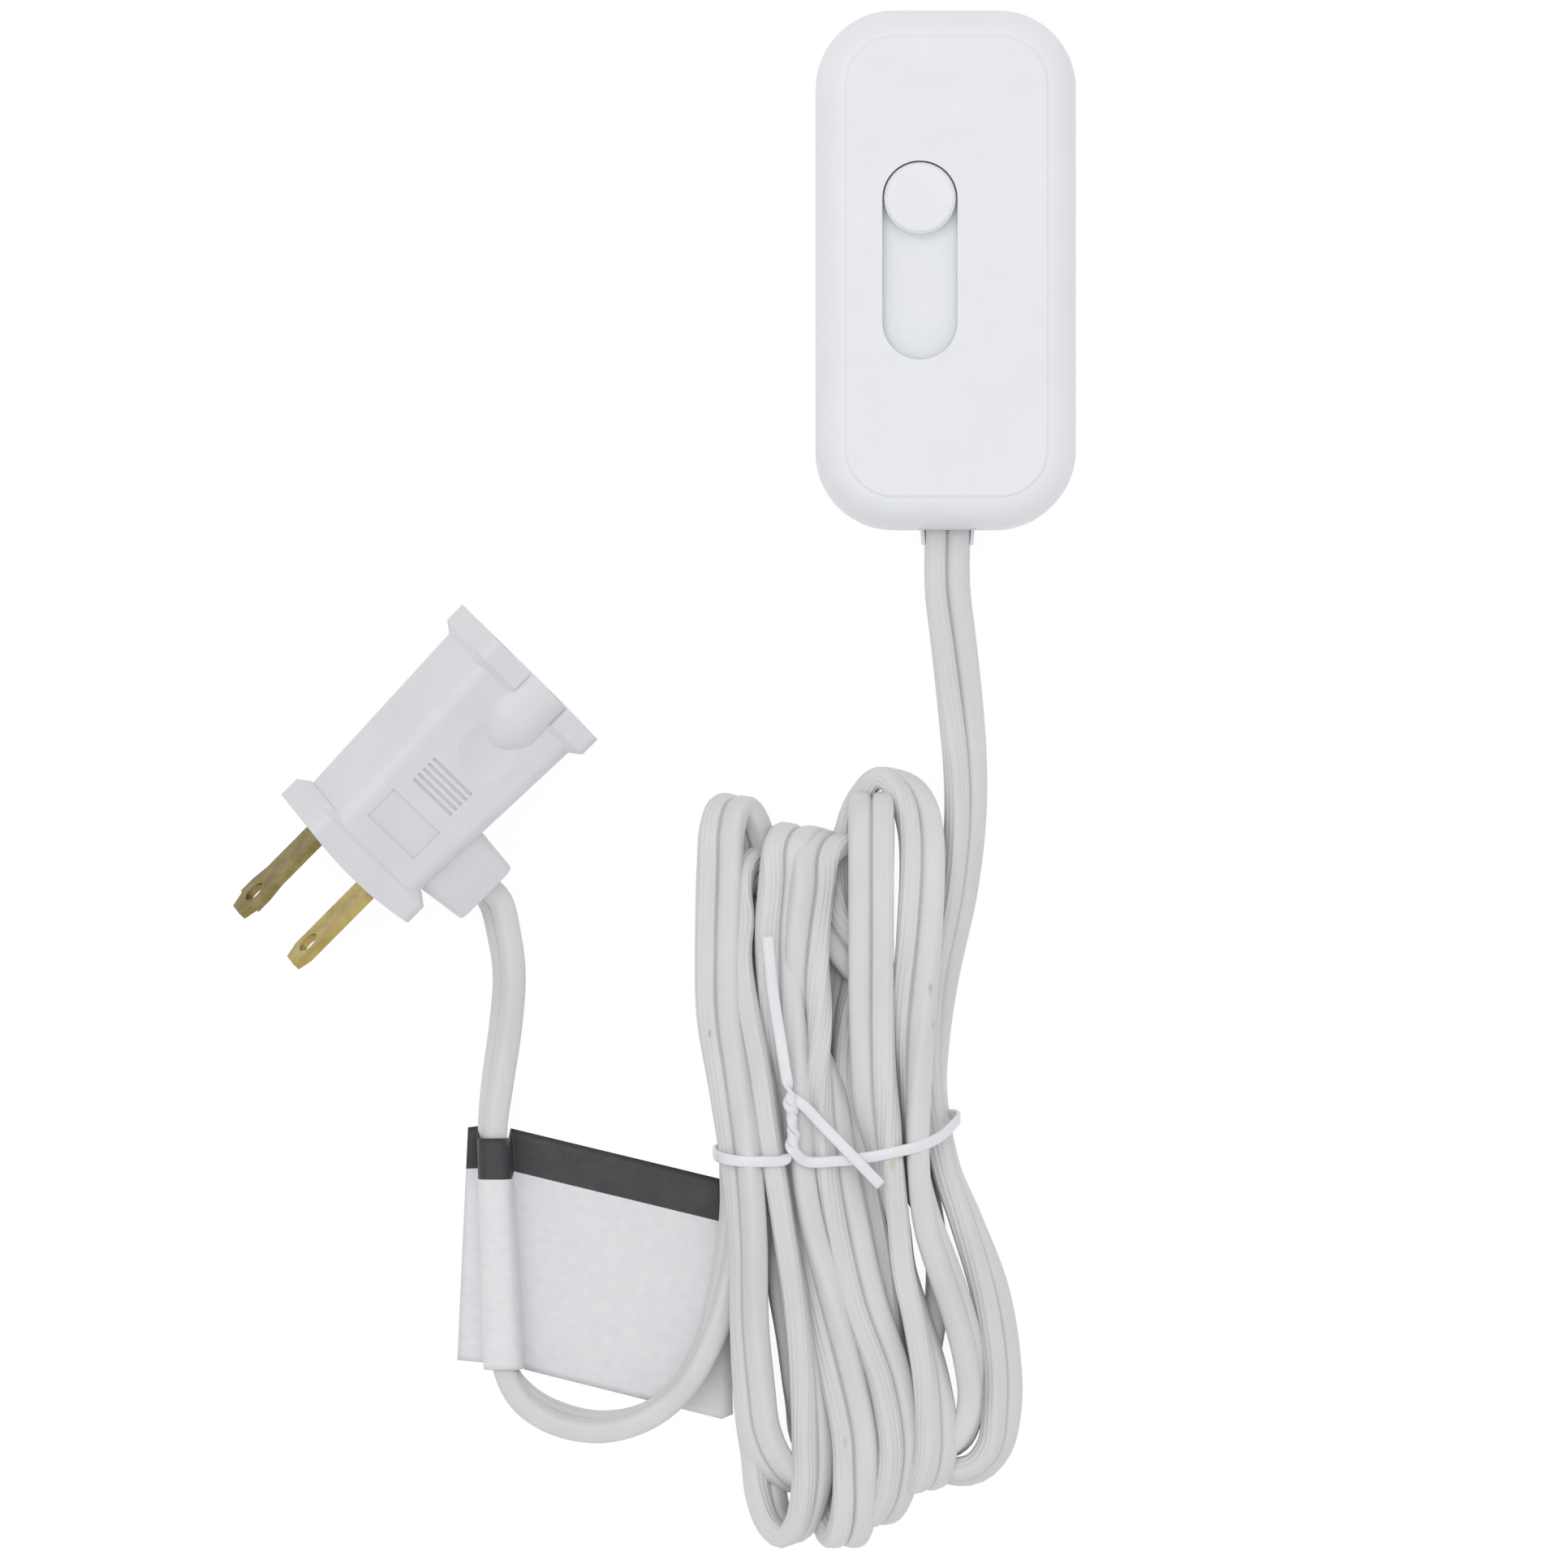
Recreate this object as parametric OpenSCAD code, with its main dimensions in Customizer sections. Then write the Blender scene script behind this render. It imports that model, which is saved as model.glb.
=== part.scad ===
// Corded table-top lamp dimmer with a slide knob, a hank of flat lamp cord and a piggy-back plug.
// Millimetres. The control lies on its base, its long axis along Y, its cord leaving towards -Y.

/* [Body] */
// Width of the control body
body_w = 41; // [39:0.5:48]
// Length of the control body
body_l = 81.5; // [80:0.5:100]
// Height of the control body
body_h = 18; // [17:0.5:22]
// Corner radius seen from above
body_r = 12.3; // [11:0.1:14]
// Wall thickness of both covers
wall = 1.8; // [1.4:0.1:2]
// Height of the seam between the covers
seam_z = 3.5; // [3:0.1:4]
// Width of the round shoulder
shoulder_w = 4.5; // [3:0.1:5]
// Depth of the round shoulder
shoulder_d = 6.5; // [5:0.1:8]
// Height of the step at the plateau's edge
plateau_step = 0.35; // [0.2:0.05:0.6]
// Chamfer round the underside
base_chamfer = 0.8; // [0.4:0.1:1.2]

/* [Slot and knob] */
// Width of the slot
slot_w = 11.8; // [10:0.1:12.4]
// Place of the slot's centre along X
slot_x = -4.2; // [-5:0.1:-3]
// Place of the slot's centre along Y
slot_y = 1; // [0:0.1:1.4]
// Height of the knob above the plateau
knob_proud = 0.5; // [0.2:0.1:1.5]
// Bevel round the knob's top
knob_bevel = 0.5; // [0.2:0.1:1]

/* [Slider] */
// Thickness of the shutter
shutter_t = 1.2; // [0.8:0.1:1.6]
// How far the shutter reaches past the slot's ends
shutter_lap = 0.7; // [0.5:0.1:1]
// How far the shutter reaches past the slot's sides
shutter_side = 2.2; // [1:0.1:3]
// Room left between the shutter and the covers' end walls
shutter_room = 2.25; // [2:0.05:4]
// Radius of the knob's stem
stem_r = 1.2; // [0.8:0.1:1.4]
// Length of the carriage
carriage_l = 8; // [6:0.2:9]
// Width of the carriage
carriage_w = 7.4; // [6:0.2:8]
// Height of the carriage's block
carriage_h = 3; // [2:0.2:3.4]
// Width of the carriage's tongue
tongue_w = 4; // [3.4:0.1:5]
// Sheet thickness of the potentiometer's frame
frame_t = 0.7; // [0.5:0.1:1]

/* [Screws] */
// Distance of a screw from the body's side
screw_inset_x = 8.5; // [8:0.1:9.5]
// Distance of a screw from the body's end
screw_inset_y = 10.7; // [10:0.1:11]
// Radius of a screw's shank
screw_r = 1.25; // [1:0.05:1.5]
// Radius of a screw's head
screw_head_r = 2.5; // [2.2:0.1:2.8]
// Height of a screw's head
screw_head_h = 1.4; // [1:0.1:1.6]
// Length of a screw's shank
screw_l = 8.5; // [6:0.5:10]
// Wall round a screw in its boss
boss_wall = 1.6; // [1.2:0.1:1.8]

/* [Board] */
// Distance of the board from the screws' bosses
board_gap = 1.1; // [0.8:0.1:3]
// Thickness of the circuit board
board_t = 1.6; // [1.2:0.1:2]
// Distance of the board from the covers' walls
board_margin = 1.7; // [1:0.1:2]
// Height of the posts under the board
post_h = 2.4; // [2:0.1:3]
// Radius of the posts under the board
post_r = 2; // [1.6:0.1:2.4]
// Radius of the pins that locate the board
pin_r = 0.8; // [0.6:0.05:1]
// Thickness of the resistance track
track_t = 0.4; // [0.3:0.1:0.6]
// Thickness of the wiper
wiper_t = 0.2; // [0.2:0.05:0.3]
// Outer radius of the choke's core
choke_r = 5; // [4:0.1:5.2]
// Height of the choke's core
choke_h = 4.4; // [3:0.1:5]
// Thickness of the choke's winding
winding_t = 0.6; // [0.4:0.1:0.8]
// Width of the triac and its spreader
triac_w = 10; // [9:0.1:10.5]
// Thickness of the heat spreader
spreader_t = 1.2; // [0.8:0.1:1.6]

/* [Cord] */
// Width of the flat cord
cord_w = 7.2; // [6.8:0.1:7.4]
// Thickness of the flat cord
cord_t = 3.6; // [3.4:0.1:3.7]
// Height of the cord where it leaves the control
cord_z = 5; // [4.8:0.1:5.4]
// Place of the cord's exit along X
cord_x = 0.4; // [0:0.1:0.8]
// Length of the strain relief outside the control
relief_l = 2.4; // [2:0.1:2.4]
// Wall of the strain relief round the cord
relief_wall = 0.8; // [0.6:0.1:0.9]
// Radius of an insulated conductor
wire_r = 1.1; // [0.8:0.1:1.3]

/* [Hank] */
// Number of loops in the hank
loops = 6; // [5:1:7]
// Place of the hank's waist along Y
waist_y = -139; // [-141:0.5:-137]
// Place of the first run at the waist
waist_x = -33; // [-33.5:0.1:-32.5]
// Step from loop to loop at the waist
waist_step = 5.4; // [5.4:0.1:5.6]
// Place of the first loop's top along X
top_x = -33.4; // [-34:0.2:-33]
// Step from loop to loop at the tops
top_step = 5.9; // [5.9:0.1:6]
// Place of the loops' tops along Y
top_y = -86; // [-87:0.5:-85]
// Place of the first loop's bottom along X
bottom_x = -28; // [-28:0.2:-27]
// Step from loop to loop at the bottoms
bottom_step = 6.6; // [6.4:0.1:6.8]
// Place of the loops' bottoms along Y
bottom_y = -196; // [-197:0.5:-195]
// Radius of the cord's centreline in a fold
fold_r = 5; // [4.8:0.1:5.4]
// Lean of the cord at the waist
waist_lean = 50; // [48:1:54]
// Lean of the cord in a fold
fold_lean = 45; // [44:1:48]

/* [Tie and tag] */
// Thickness of the twist tie's band
tie_t = 0.8; // [0.6:0.1:0.9]
// Width of the twist tie's band
tie_w = 1.7; // [1.2:0.1:2]
// Radius of a loose end of the tie
tie_end_r = 0.7; // [0.5:0.1:0.8]
// Thickness of the tag
tag_t = 0.25; // [0.2:0.05:0.3]
// Length of the tag along the cord
tag_l = 37; // [35:0.5:38]
// Half the width of the tag's sleeve inside
sleeve_r = 3.4; // [3.3:0.1:3.6]

/* [Plug] */
// Length of the plug's body along the blades
plug_l = 41.3; // [41:0.1:44]
// Width of the plug's body at the blades
plug_w = 20; // [19.6:0.1:21]
// Widening of each side of the plug's body towards the outlet
plug_taper = 1.6; // [1:0.1:1.8]
// Thickness of the plug's body
plug_t = 18; // [17.5:0.1:18.5]
// Edge radius of the plug's body
plug_r = 3; // [2:0.1:4]
// Thickness of a flange
flange_t = 3.4; // [3:0.1:4]
// Width of the flange at the outlet
outlet_flange_w = 25.4; // [25:0.1:26]
// Thickness across the flange at the outlet
outlet_flange_h = 20; // [19.4:0.1:20.5]
// Width of the flange at the blades
blade_flange_w = 24; // [23:0.1:25]
// Thickness across the flange at the blades
blade_flange_h = 19; // [18.6:0.1:19.4]
// Corner radius of the flanges
flange_r = 2; // [1:0.1:3]
// Slope behind a flange's rim
flange_slope = 1.4; // [1:0.1:1.8]
// Rise of the blades' flange towards its middle
flange_bow = 1; // [0.6:0.1:1.2]
// Width of the cord boss along the blades
boss_w = 11.4; // [10.4:0.1:12]
// Thickness of the cord boss
boss_h = 10.6; // [9:0.1:12]
// Widening of each side of the cord boss towards the plug's body
boss_flare = 1.3; // [0.6:0.1:1.4]
// Reach of the cord boss from the plug's axis
boss_reach = 19.5; // [18.5:0.1:20.5]
// Place of the cord boss along the plug's axis
boss_x = 9.1; // [8.6:0.1:9.4]
// Distance between the blades
blade_pitch = 12.7; // [12.2:0.1:13]
// Thickness of a blade
blade_t = 1.3; // [1.2:0.05:1.6]
// Width of the narrow blade
narrow_w = 6.35; // [6:0.05:6.6]
// Width of the wide blade
wide_w = 7.9; // [7.6:0.05:8.2]
// Reach of the blades from the flange
blade_l = 17.6; // [16:0.1:18.2]
// Radius of the hole near a blade's tip
blade_hole_r = 1.75; // [1.4:0.05:1.8]
// Width of the outlet's slots
outlet_slot_w = 2.2; // [2:0.1:2.6]
// Length of the outlet's narrow slot
outlet_narrow = 7; // [6.8:0.1:7.4]
// Length of the outlet's wide slot
outlet_wide = 8.6; // [8.4:0.1:9]
// Thickness of the outlet's face
face_t = 2.2; // [1.8:0.1:2.6]
// Thickness of the contacts
contact_t = 0.5; // [0.4:0.05:0.6]

/* [Fits] */
// Gap between the knob and the slot
knob_gap = 0.3; // [0.3:0.05:0.5]
// Gap between sliding faces
run_gap = 0.3; // [0.3:0.05:0.4]
// Gap above the shutter
shutter_gap = 0.7; // [0.4:0.1:1]
// Gap round a piece that is fitted into another
fit = 0.1; // [0.05:0.05:0.15]
// Gap round a tie, tag or sleeve and the cord
soft_gap = 0.3; // [0.3:0.05:0.5]

/* [Hidden] */
$fn = 48;
// A cut goes this far past the face that it opens
past = 1;

// Heights in the control, from the base up
base_floor = wall;
board_z = base_floor + post_h;
board_top = board_z + board_t;
track_top = board_top + track_t;
wiper_z = track_top + run_gap;
carriage_z = wiper_z + wiper_t;
carriage_top = carriage_z + carriage_h;
lip_z = carriage_top + run_gap;
plate_z = body_h - wall;
shutter_top = plate_z - shutter_gap;
shutter_z = shutter_top - shutter_t;

// The slot is as long as the shutter's room allows; the slider's travel and places at rest
slot_l = (body_l / 2 - wall - shutter_room - slot_y + slot_w - shutter_lap) / 1.5;
travel = slot_l - slot_w;
knob_r = slot_w / 2 - knob_gap;
knob_y = slot_y + travel / 2;
shutter_r = slot_w / 2 + shutter_side;
shutter_reach = slot_l - slot_w / 2 + shutter_lap;
frame_in_w = carriage_w + 2 * run_gap;
frame_in_l = travel + carriage_l + 2 * run_gap;
board_w = body_w - 2 * wall - 2 * board_margin;
screw_x = body_w / 2 - screw_inset_x;
screw_y = body_l / 2 - screw_inset_y;
screw_boss_r = screw_r + fit + boss_wall;
screw_recess = screw_head_h + 0.2;
cover_boss_r = max(screw_boss_r, screw_head_r + fit);
board_l = 2 * (screw_y - screw_boss_r - board_gap);
relief_w = cord_w + 2 * relief_wall;
relief_h = cord_t + 2 * relief_wall;
relief_flange = 1.2;
relief_flange_t = 2;
exit_y = -body_l / 2;
conductor = cord_w / 4;

// Places of the pieces on the board: in the room left of the potentiometer, and from the right edge
side_room = board_w / 2 + slot_x - frame_in_w / 2 - frame_t;
side_x = -board_w / 2 + side_room / 2;
spreader_l = 0.385 * board_l;
triac_at = [board_w / 2 - 6.8, -0.22 * board_l];
choke_at = [board_w / 2 - 6.6, 0.19 * board_l];
capacitor_at = [side_x, -0.154 * board_l];
capacitor_size = [0.74 * side_room, 12, 7];
resistor_x = [side_x - 0.22 * side_room, side_x + 0.22 * side_room];
resistor_y = 0.173 * board_l;
diac_at = [side_x, 0.365 * board_l];
wire_end_y = -board_l / 2 + 4;

// The hank's heights at the waist and in the folds
lie = 0.1;
waist_low = tie_t + 2 * soft_gap + cord_half(waist_lean);
waist_high = waist_low + 2 * cord_half(waist_lean) + soft_gap;
fold_low = lie + cord_half(fold_lean);
hank_sides = 6;
tube_sides = 8;
rings_per_loop = 24;

// Route of the lead from the strain relief to the hank's waist: x, y, height, lean
lead_route = [
    [cord_x, exit_y - relief_l, cord_z, 0],
    [0.4, -50, 4.6, 0],
    [1.2, -58, 3.8, -10],
    [2.2, -68, 3.2, -25],
    [3.1, -78, 3.3, -38],
    [3.2, -87, 3.5, -45],
    [2.2, -98, 3.8, -48],
    [0.4, -112, 4.2, -50],
    [-0.5, -123, 4.4, -50],
    [waist_x + loops * waist_step, -131, waist_low, -waist_lean],
    [waist_x + loops * waist_step, waist_y, waist_low, -waist_lean]
];
// Route of the tail from the plug to the hank's waist: x, y, height, lean
tail_route = [
    [-69.6, -105, 2.9, 18],
    [-69, -111, 3.2, 40],
    [-69.6, -119, 3.7, 58],
    [-71, -129, 3.9, 62],
    [-71.5, -136, 4, 62],
    [-71, -148, 4, 62],
    [-70.5, -160, 4, 62],
    [-69.9, -173.5, 4, 62],
    [-67, -178.2, 4, 62],
    [-61.5, -181.5, 4, 62],
    [-54.4, -183, 4, 62],
    [-47.6, -181.2, 4, 62],
    [-42, -177, 4, 62],
    [-37.5, -169.5, 4.2, 58],
    [-34.6, -160, 4.4, 54],
    [waist_x, -149, waist_low, waist_lean],
    [waist_x, waist_y, waist_low, waist_lean]
];

// The tie's ring and its loose ends
tie_turn = 5;
tie_x = waist_x + loops * waist_step / 2;
tie_in_w = loops * waist_step + 2 * cord_half(90 - waist_lean) + 3 * soft_gap;
tie_low = lie;
tie_in_h = waist_high + cord_half(waist_lean) + soft_gap - tie_low - tie_t;
tie_top = tie_low + tie_in_h + 2 * tie_t;
tie_corner = 2.2;
tie_end_1 = [[-23.2, waist_y, 0], [-24.4, -130.5, 0.3], [-26.4, -117, 0.8], [-28.2, -105, 1.6]];
tie_end_2 = [[-24.2, -131.6, 0.3], [-10.4, -144, 0.3]];

// The tag's flap and strip, seen from above
tag_at = [-71.5, -136];
tag_turn = 2.4;
sleeve_h = 5;
tag_flap = [[-69, -136], [-35, -144], [-33.3, -180.3], [-35.9, -181.9], [-65.4, -174.8], [-67.2, -173.2]];
tag_strip = [[-76.6, -135], [-73.6, -136], [-72.2, -173], [-77.4, -172.6]];

// The plug's place: it lies rolled on an edge of its outlet flange
plug_yaw = 225.2;
plug_roll = 25.7;
plug_z = (outlet_flange_w / 2 - flange_r) * sin(plug_roll)
    + (outlet_flange_h / 2 - flange_r) * cos(plug_roll) + flange_r;
plug_at = [-80, -78.1, plug_z];
plug_end = plug_l / 2;
face_w = 20;
face_h = 14.4;
cavity_w = 16.4;
cavity_h = 12.4;
cavity_end = plug_end - flange_t - 2.4;
blade_root = boss_x + 1;
contact_end = -3;
leaf_gap = 1.1;
panel_size = [5.9, 11, 0.4];
panel_at = [10, -0.9];
groove_size = [0.5, 9, 0.4];
groove_step = 1.1;
groove_at = [1.6, -0.7];
scoop_half = 4.8;
scoop_depth = 0.8;
scoop_r = sagitta_r(scoop_half, scoop_depth);
scoop_at = [-7, 0.6];
knuckle_half = 4.7;
notch_half = knuckle_half - 0.3;
knuckle_rise = 1.9;
knuckle_r = sagitta_r(knuckle_half, knuckle_rise);
knuckle_l = 11.4;
knuckle_y = 0.3;
bow_r = sagitta_r(blade_flange_w / 2, flange_bow);

// Radius of an arc with the given half chord and rise
function sagitta_r(half, rise) = (half * half + rise * rise) / (2 * rise);
// Half the height of the cord's section when it leans
function cord_half(lean) = cord_t / 2 + (cord_w - cord_t) / 2 * sin(lean);
function mix(a, b, s) = a + (b - a) * s;
function unit(v) = v / norm(v);

// Outline of the flat cord's section with the given number of sides
function cord_outline(sides) = [
    for (k = [0 : sides - 1])
        let (a = 360 * (k + (sides == 6 ? 0 : 0.5)) / sides)
            sides == 6
                ? [cord_w / 2 * (abs(cos(a)) > 0.9 ? sign(cos(a)) : 0.62 * sign(cos(a))),
                   cord_t / 2 * (abs(sin(a)) > 0.1 ? sign(sin(a)) : 0)]
                : [cord_w / 2 * (abs(cos(a)) > 0.5 ? sign(cos(a)) : 0.7 * sign(cos(a))),
                   cord_t / 2 * (abs(sin(a)) > 0.5 ? sign(sin(a)) : 0.4 * sign(sin(a)))]
];

// One ring of a tube: its points lie square to the direction, the width along the side vector
function ring(at, dir, side, sides) =
    let (across = unit(cross(dir, side)))
        [for (q = cord_outline(sides)) at + q[0] * side + q[1] * across];

// Faces of a tube of rings, all triangles, with fans over both ends
function tube_faces(rings, sides) = concat(
    [for (r = [0 : rings - 2], k = [0 : sides - 1])
        [r * sides + k, (r + 1) * sides + k, r * sides + (k + 1) % sides]],
    [for (r = [0 : rings - 2], k = [0 : sides - 1])
        [r * sides + (k + 1) % sides, (r + 1) * sides + k, (r + 1) * sides + (k + 1) % sides]],
    [for (k = [1 : sides - 2]) [0, k, k + 1]],
    [for (k = [1 : sides - 2]) let (e = (rings - 1) * sides) [e, e + k + 1, e + k]]
);

// Directions of the plug's axis and of its cord boss
plug_axis = [cos(plug_yaw), sin(plug_yaw), 0];
plug_side = [-sin(plug_yaw) * cos(plug_roll), cos(plug_yaw) * cos(plug_roll), -sin(plug_roll)];
tail_start = plug_at + boss_x * plug_axis + boss_reach * plug_side;
tail_straight = 5;

// A free stretch of cord along its route, with the directions of both ends given
function free_dir(route, k, first, last) =
    k == 0 ? first
    : k == len(route) - 1 ? last
    : let (a = route[k - 1], b = route[k + 1])
        unit([b[0] - a[0], b[1] - a[1], b[2] - a[2]]);
function free_side(dir, lean) =
    let (flat = unit(cross(dir, [0, 0, 1])), up = cross(flat, dir))
        cos(lean) * flat - sin(lean) * up;

// A round tube through a few points
module round_tube(points, r) {
    last = len(points) - 1;
    dirs = [for (k = [0 : last]) unit(points[min(k + 1, last)] - points[max(k - 1, 0)])];
    skin = [
        for (k = [0 : last])
            let (side = unit(cross(dirs[k], [0, 0, 1])), up = cross(side, dirs[k]))
                for (m = [0 : tube_sides - 1])
                    let (a = 360 * m / tube_sides)
                        points[k] + r * (cos(a) * side - sin(a) * up)
    ];
    polyhedron(skin, tube_faces(len(points), tube_sides));
}

module free_tube(route, first, last) {
    points = [
        for (k = [0 : len(route) - 1])
            let (dir = free_dir(route, k, first, last), at = [route[k][0], route[k][1], route[k][2]])
                each ring(at, dir, free_side(dir, route[k][3]), tube_sides)
    ];
    polyhedron(points, tube_faces(len(route), tube_sides));
}

// Points of the hank: up the back, over the top, down the front and round the bottom, loop by loop
fold_high = fold_low + 2 * fold_r;
back_x = function (k) waist_x + waist_step * k;
front_x = function (k) waist_x + waist_step * (k + 0.5);
loop_top = function (k) top_x + top_step * k;
loop_bottom = function (k) bottom_x + bottom_step * k;
function run_point(x_waist, x_fold, y_fold, z_waist, z_fold, s) = [
    mix(x_waist, x_fold, s * s), mix(waist_y, y_fold, s),
    mix(z_waist, z_fold, s * s), mix(waist_lean, fold_lean, s * s)
];
function hank_point(q) =
    let (k = floor(q / rings_per_loop), p = q - k * rings_per_loop)
        p <= 3 ? run_point(back_x(k), loop_top(k), top_y - fold_r, waist_low, fold_low, p / 3)
        : p < 9 ? let (a = (p - 3) * 30)
            [loop_top(k), top_y - fold_r + fold_r * sin(a), fold_low + fold_r - fold_r * cos(a), fold_lean]
        : p < 12 ? run_point(front_x(k), loop_top(k), top_y - fold_r, waist_high, fold_high, (12 - p) / 3)
        : p <= 15 ? run_point(front_x(k), loop_bottom(k), bottom_y + fold_r, waist_high, fold_high, (p - 12) / 3)
        : p < 21 ? let (a = (p - 15) * 30)
            [loop_bottom(k), bottom_y + fold_r - fold_r * sin(a), fold_low + fold_r + fold_r * cos(a), fold_lean]
        : run_point(back_x(k + 1), loop_bottom(k), bottom_y + fold_r, waist_low, fold_low, (24 - p) / 3);
hank_first = hank_point(0);
hank_last = hank_point(loops * rings_per_loop);
hank_route = [
    hank_first,
    hank_first + [0, cord_w, 0, 0],
    for (q = [1 : loops * rings_per_loop - 1]) hank_point(q),
    hank_last - [0, cord_w, 0, 0],
    hank_last
];
function hank_side(dir, lean) =
    let (flat = unit([1, 0, 0] - dir[0] * dir), normal = cross(dir, flat))
        cos(lean) * flat + sin(lean) * normal;
hank_rings = len(hank_route);
hank_points = [
    for (k = [0 : hank_rings - 1])
        let (dir = free_dir(hank_route, k, [0, 1, 0], [0, 1, 0]), p = hank_route[k])
            each ring([p[0], p[1], p[2]], dir, hank_side(dir, p[3]), hank_sides)
];
// Least gap between runs, measured on the rings' points of stretches a third of a loop or more apart
function hank_gap() = min([
    for (i = [0 : hank_rings - 9])
        for (j = [i + 8 : hank_rings - 1])
            let (a = hank_route[i], b = hank_route[j])
                if (norm([a[0] - b[0], a[1] - b[1], a[2] - b[2]]) < 2 * cord_w)
                    for (m = [0 : hank_sides - 1], n = [0 : hank_sides - 1])
                        norm(hank_points[i * hank_sides + m] - hank_points[j * hank_sides + n])
]);

// Shapes that repeat
module rounded(w, h, r) {
    square([w - 2 * r, h], center = true);
    square([w, h - 2 * r], center = true);
    for (x = [-1, 1], y = [-1, 1])
        translate([x * (w / 2 - r), y * (h / 2 - r)])
            circle(r);
}

module stadium(r, reach, h) {
    for (y = [-reach, reach])
        translate([0, y, 0])
            cylinder(r = r, h = h);
    translate([-r, -reach, 0])
        cube([2 * r, 2 * reach, h]);
}

// A profile carried round a rectangle with round corners: x is the distance from a corner's centre
module swept(w, l, r, profile) {
    side_x = w / 2 - r;
    side_y = l / 2 - r;
    low = min([for (p = profile) p[1]]);
    high = max([for (p = profile) p[1]]);
    for (c = [[1, 1, 0], [-1, 1, 90], [-1, -1, 180], [1, -1, 270]])
        translate([c[0] * side_x, c[1] * side_y, 0])
            rotate([0, 0, c[2]])
                rotate_extrude(angle = 90)
                    polygon(profile);
    for (m = [0, 1])
        mirror([m, 0, 0])
            translate([side_x, side_y, 0])
                rotate([90, 0, 0])
                    linear_extrude(2 * side_y)
                        polygon(profile);
    for (m = [0, 1])
        mirror([0, m, 0])
            translate([-side_x, side_y, 0])
                rotate([90, 0, 90])
                    linear_extrude(2 * side_x)
                        polygon(profile);
    translate([-side_x, -side_y, low])
        cube([2 * side_x, 2 * side_y, high - low]);
}

module rod(a, b, r) {
    d = b - a;
    translate(a)
        rotate([0, acos(d[2] / norm(d)), atan2(d[1], d[0])])
            cylinder(r = r, h = norm(d));
}

module wire(points, r) {
    for (k = [0 : len(points) - 2])
        rod(points[k], points[k + 1], r);
    for (k = [1 : len(points) - 2])
        translate(points[k])
            sphere(r);
}

module at_screws() {
    for (y = [-screw_y, screw_y])
        translate([screw_x, y, 0])
            children();
}

// Covers of the control
shoulder_z = body_h - plateau_step - shoulder_d;
function shoulder(side, rise) = [
    for (a = [0 : 9 : 90])
        [body_r - shoulder_w + side * cos(a), shoulder_z + rise * sin(a)]
];

module cord_notch() {
    translate([cord_x, exit_y + wall / 2, cord_z])
        cube([relief_w + 2 * fit, wall + 2 * past, relief_h + 2 * fit], center = true);
}

module top_cover() {
    outside = concat(
        [[0, seam_z], [body_r, seam_z]],
        shoulder(shoulder_w, shoulder_d),
        [[body_r - shoulder_w - plateau_step, body_h], [0, body_h]]
    );
    inside = concat(
        [[0, seam_z - past], [body_r - wall, seam_z - past]],
        shoulder(shoulder_w - wall, plate_z - shoulder_z),
        [[0, plate_z]]
    );
    color([0.9, 0.91, 0.92])
        difference() {
            union() {
                difference() {
                    swept(body_w, body_l, body_r, outside);
                    swept(body_w, body_l, body_r, inside);
                }
                at_screws()
                    translate([0, 0, seam_z])
                        cylinder(r = screw_boss_r, h = plate_z - seam_z + wall / 2);
            }
            translate([slot_x, slot_y, plate_z - past])
                stadium(slot_w / 2, travel / 2, wall + 2 * past);
            cord_notch();
            at_screws()
                translate([0, 0, seam_z - past])
                    cylinder(r = screw_r + fit, h = screw_recess + screw_l - seam_z + 2 * past);
        }
}

module base_cover() {
    outside = [
        [0, 0], [body_r - base_chamfer, 0], [body_r, base_chamfer], [body_r, seam_z], [0, seam_z]
    ];
    inside = [
        [0, base_floor], [body_r - wall, base_floor], [body_r - wall, seam_z + past], [0, seam_z + past]
    ];
    color([0.88, 0.89, 0.9])
        difference() {
            union() {
                difference() {
                    swept(body_w, body_l, body_r, outside);
                    swept(body_w, body_l, body_r, inside);
                }
                at_screws()
                    cylinder(r = cover_boss_r + boss_wall, h = seam_z);
                at_board_posts() {
                    translate([0, 0, base_floor / 2])
                        cylinder(r = post_r, h = board_z - base_floor / 2);
                    translate([0, 0, base_floor])
                        cylinder(r = pin_r, h = board_top + pin_r - base_floor);
                }
            }
            cord_notch();
            at_screws() {
                translate([0, 0, -past])
                    cylinder(r = screw_head_r + fit, h = screw_recess + past);
                translate([0, 0, -past])
                    cylinder(r = screw_r + fit, h = seam_z + 2 * past);
            }
        }
}

module cover_screws() {
    color([0.7, 0.71, 0.73])
        at_screws()
            difference() {
                union() {
                    translate([0, 0, screw_recess - screw_head_h])
                        cylinder(r = screw_head_r, h = screw_head_h);
                    translate([0, 0, screw_recess])
                        cylinder(r = screw_r, h = screw_l);
                }
                for (a = [0, 90])
                    rotate([0, 0, a])
                        translate([0, 0, screw_recess - screw_head_h])
                            cube([2 * screw_r, screw_r / 2, screw_head_h], center = true);
            }
}

// The slider
module slider_knob() {
    top = body_h + knob_proud;
    color([0.9, 0.91, 0.93])
        translate([slot_x, knob_y, 0]) {
            translate([0, 0, shutter_top])
                cylinder(r = knob_r, h = top - knob_bevel - shutter_top);
            translate([0, 0, top - knob_bevel])
                cylinder(r1 = knob_r, r2 = knob_r - knob_bevel, h = knob_bevel);
            translate([0, 0, carriage_top + fit])
                cylinder(r = stem_r, h = shutter_top + fit - carriage_top);
        }
}

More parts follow.
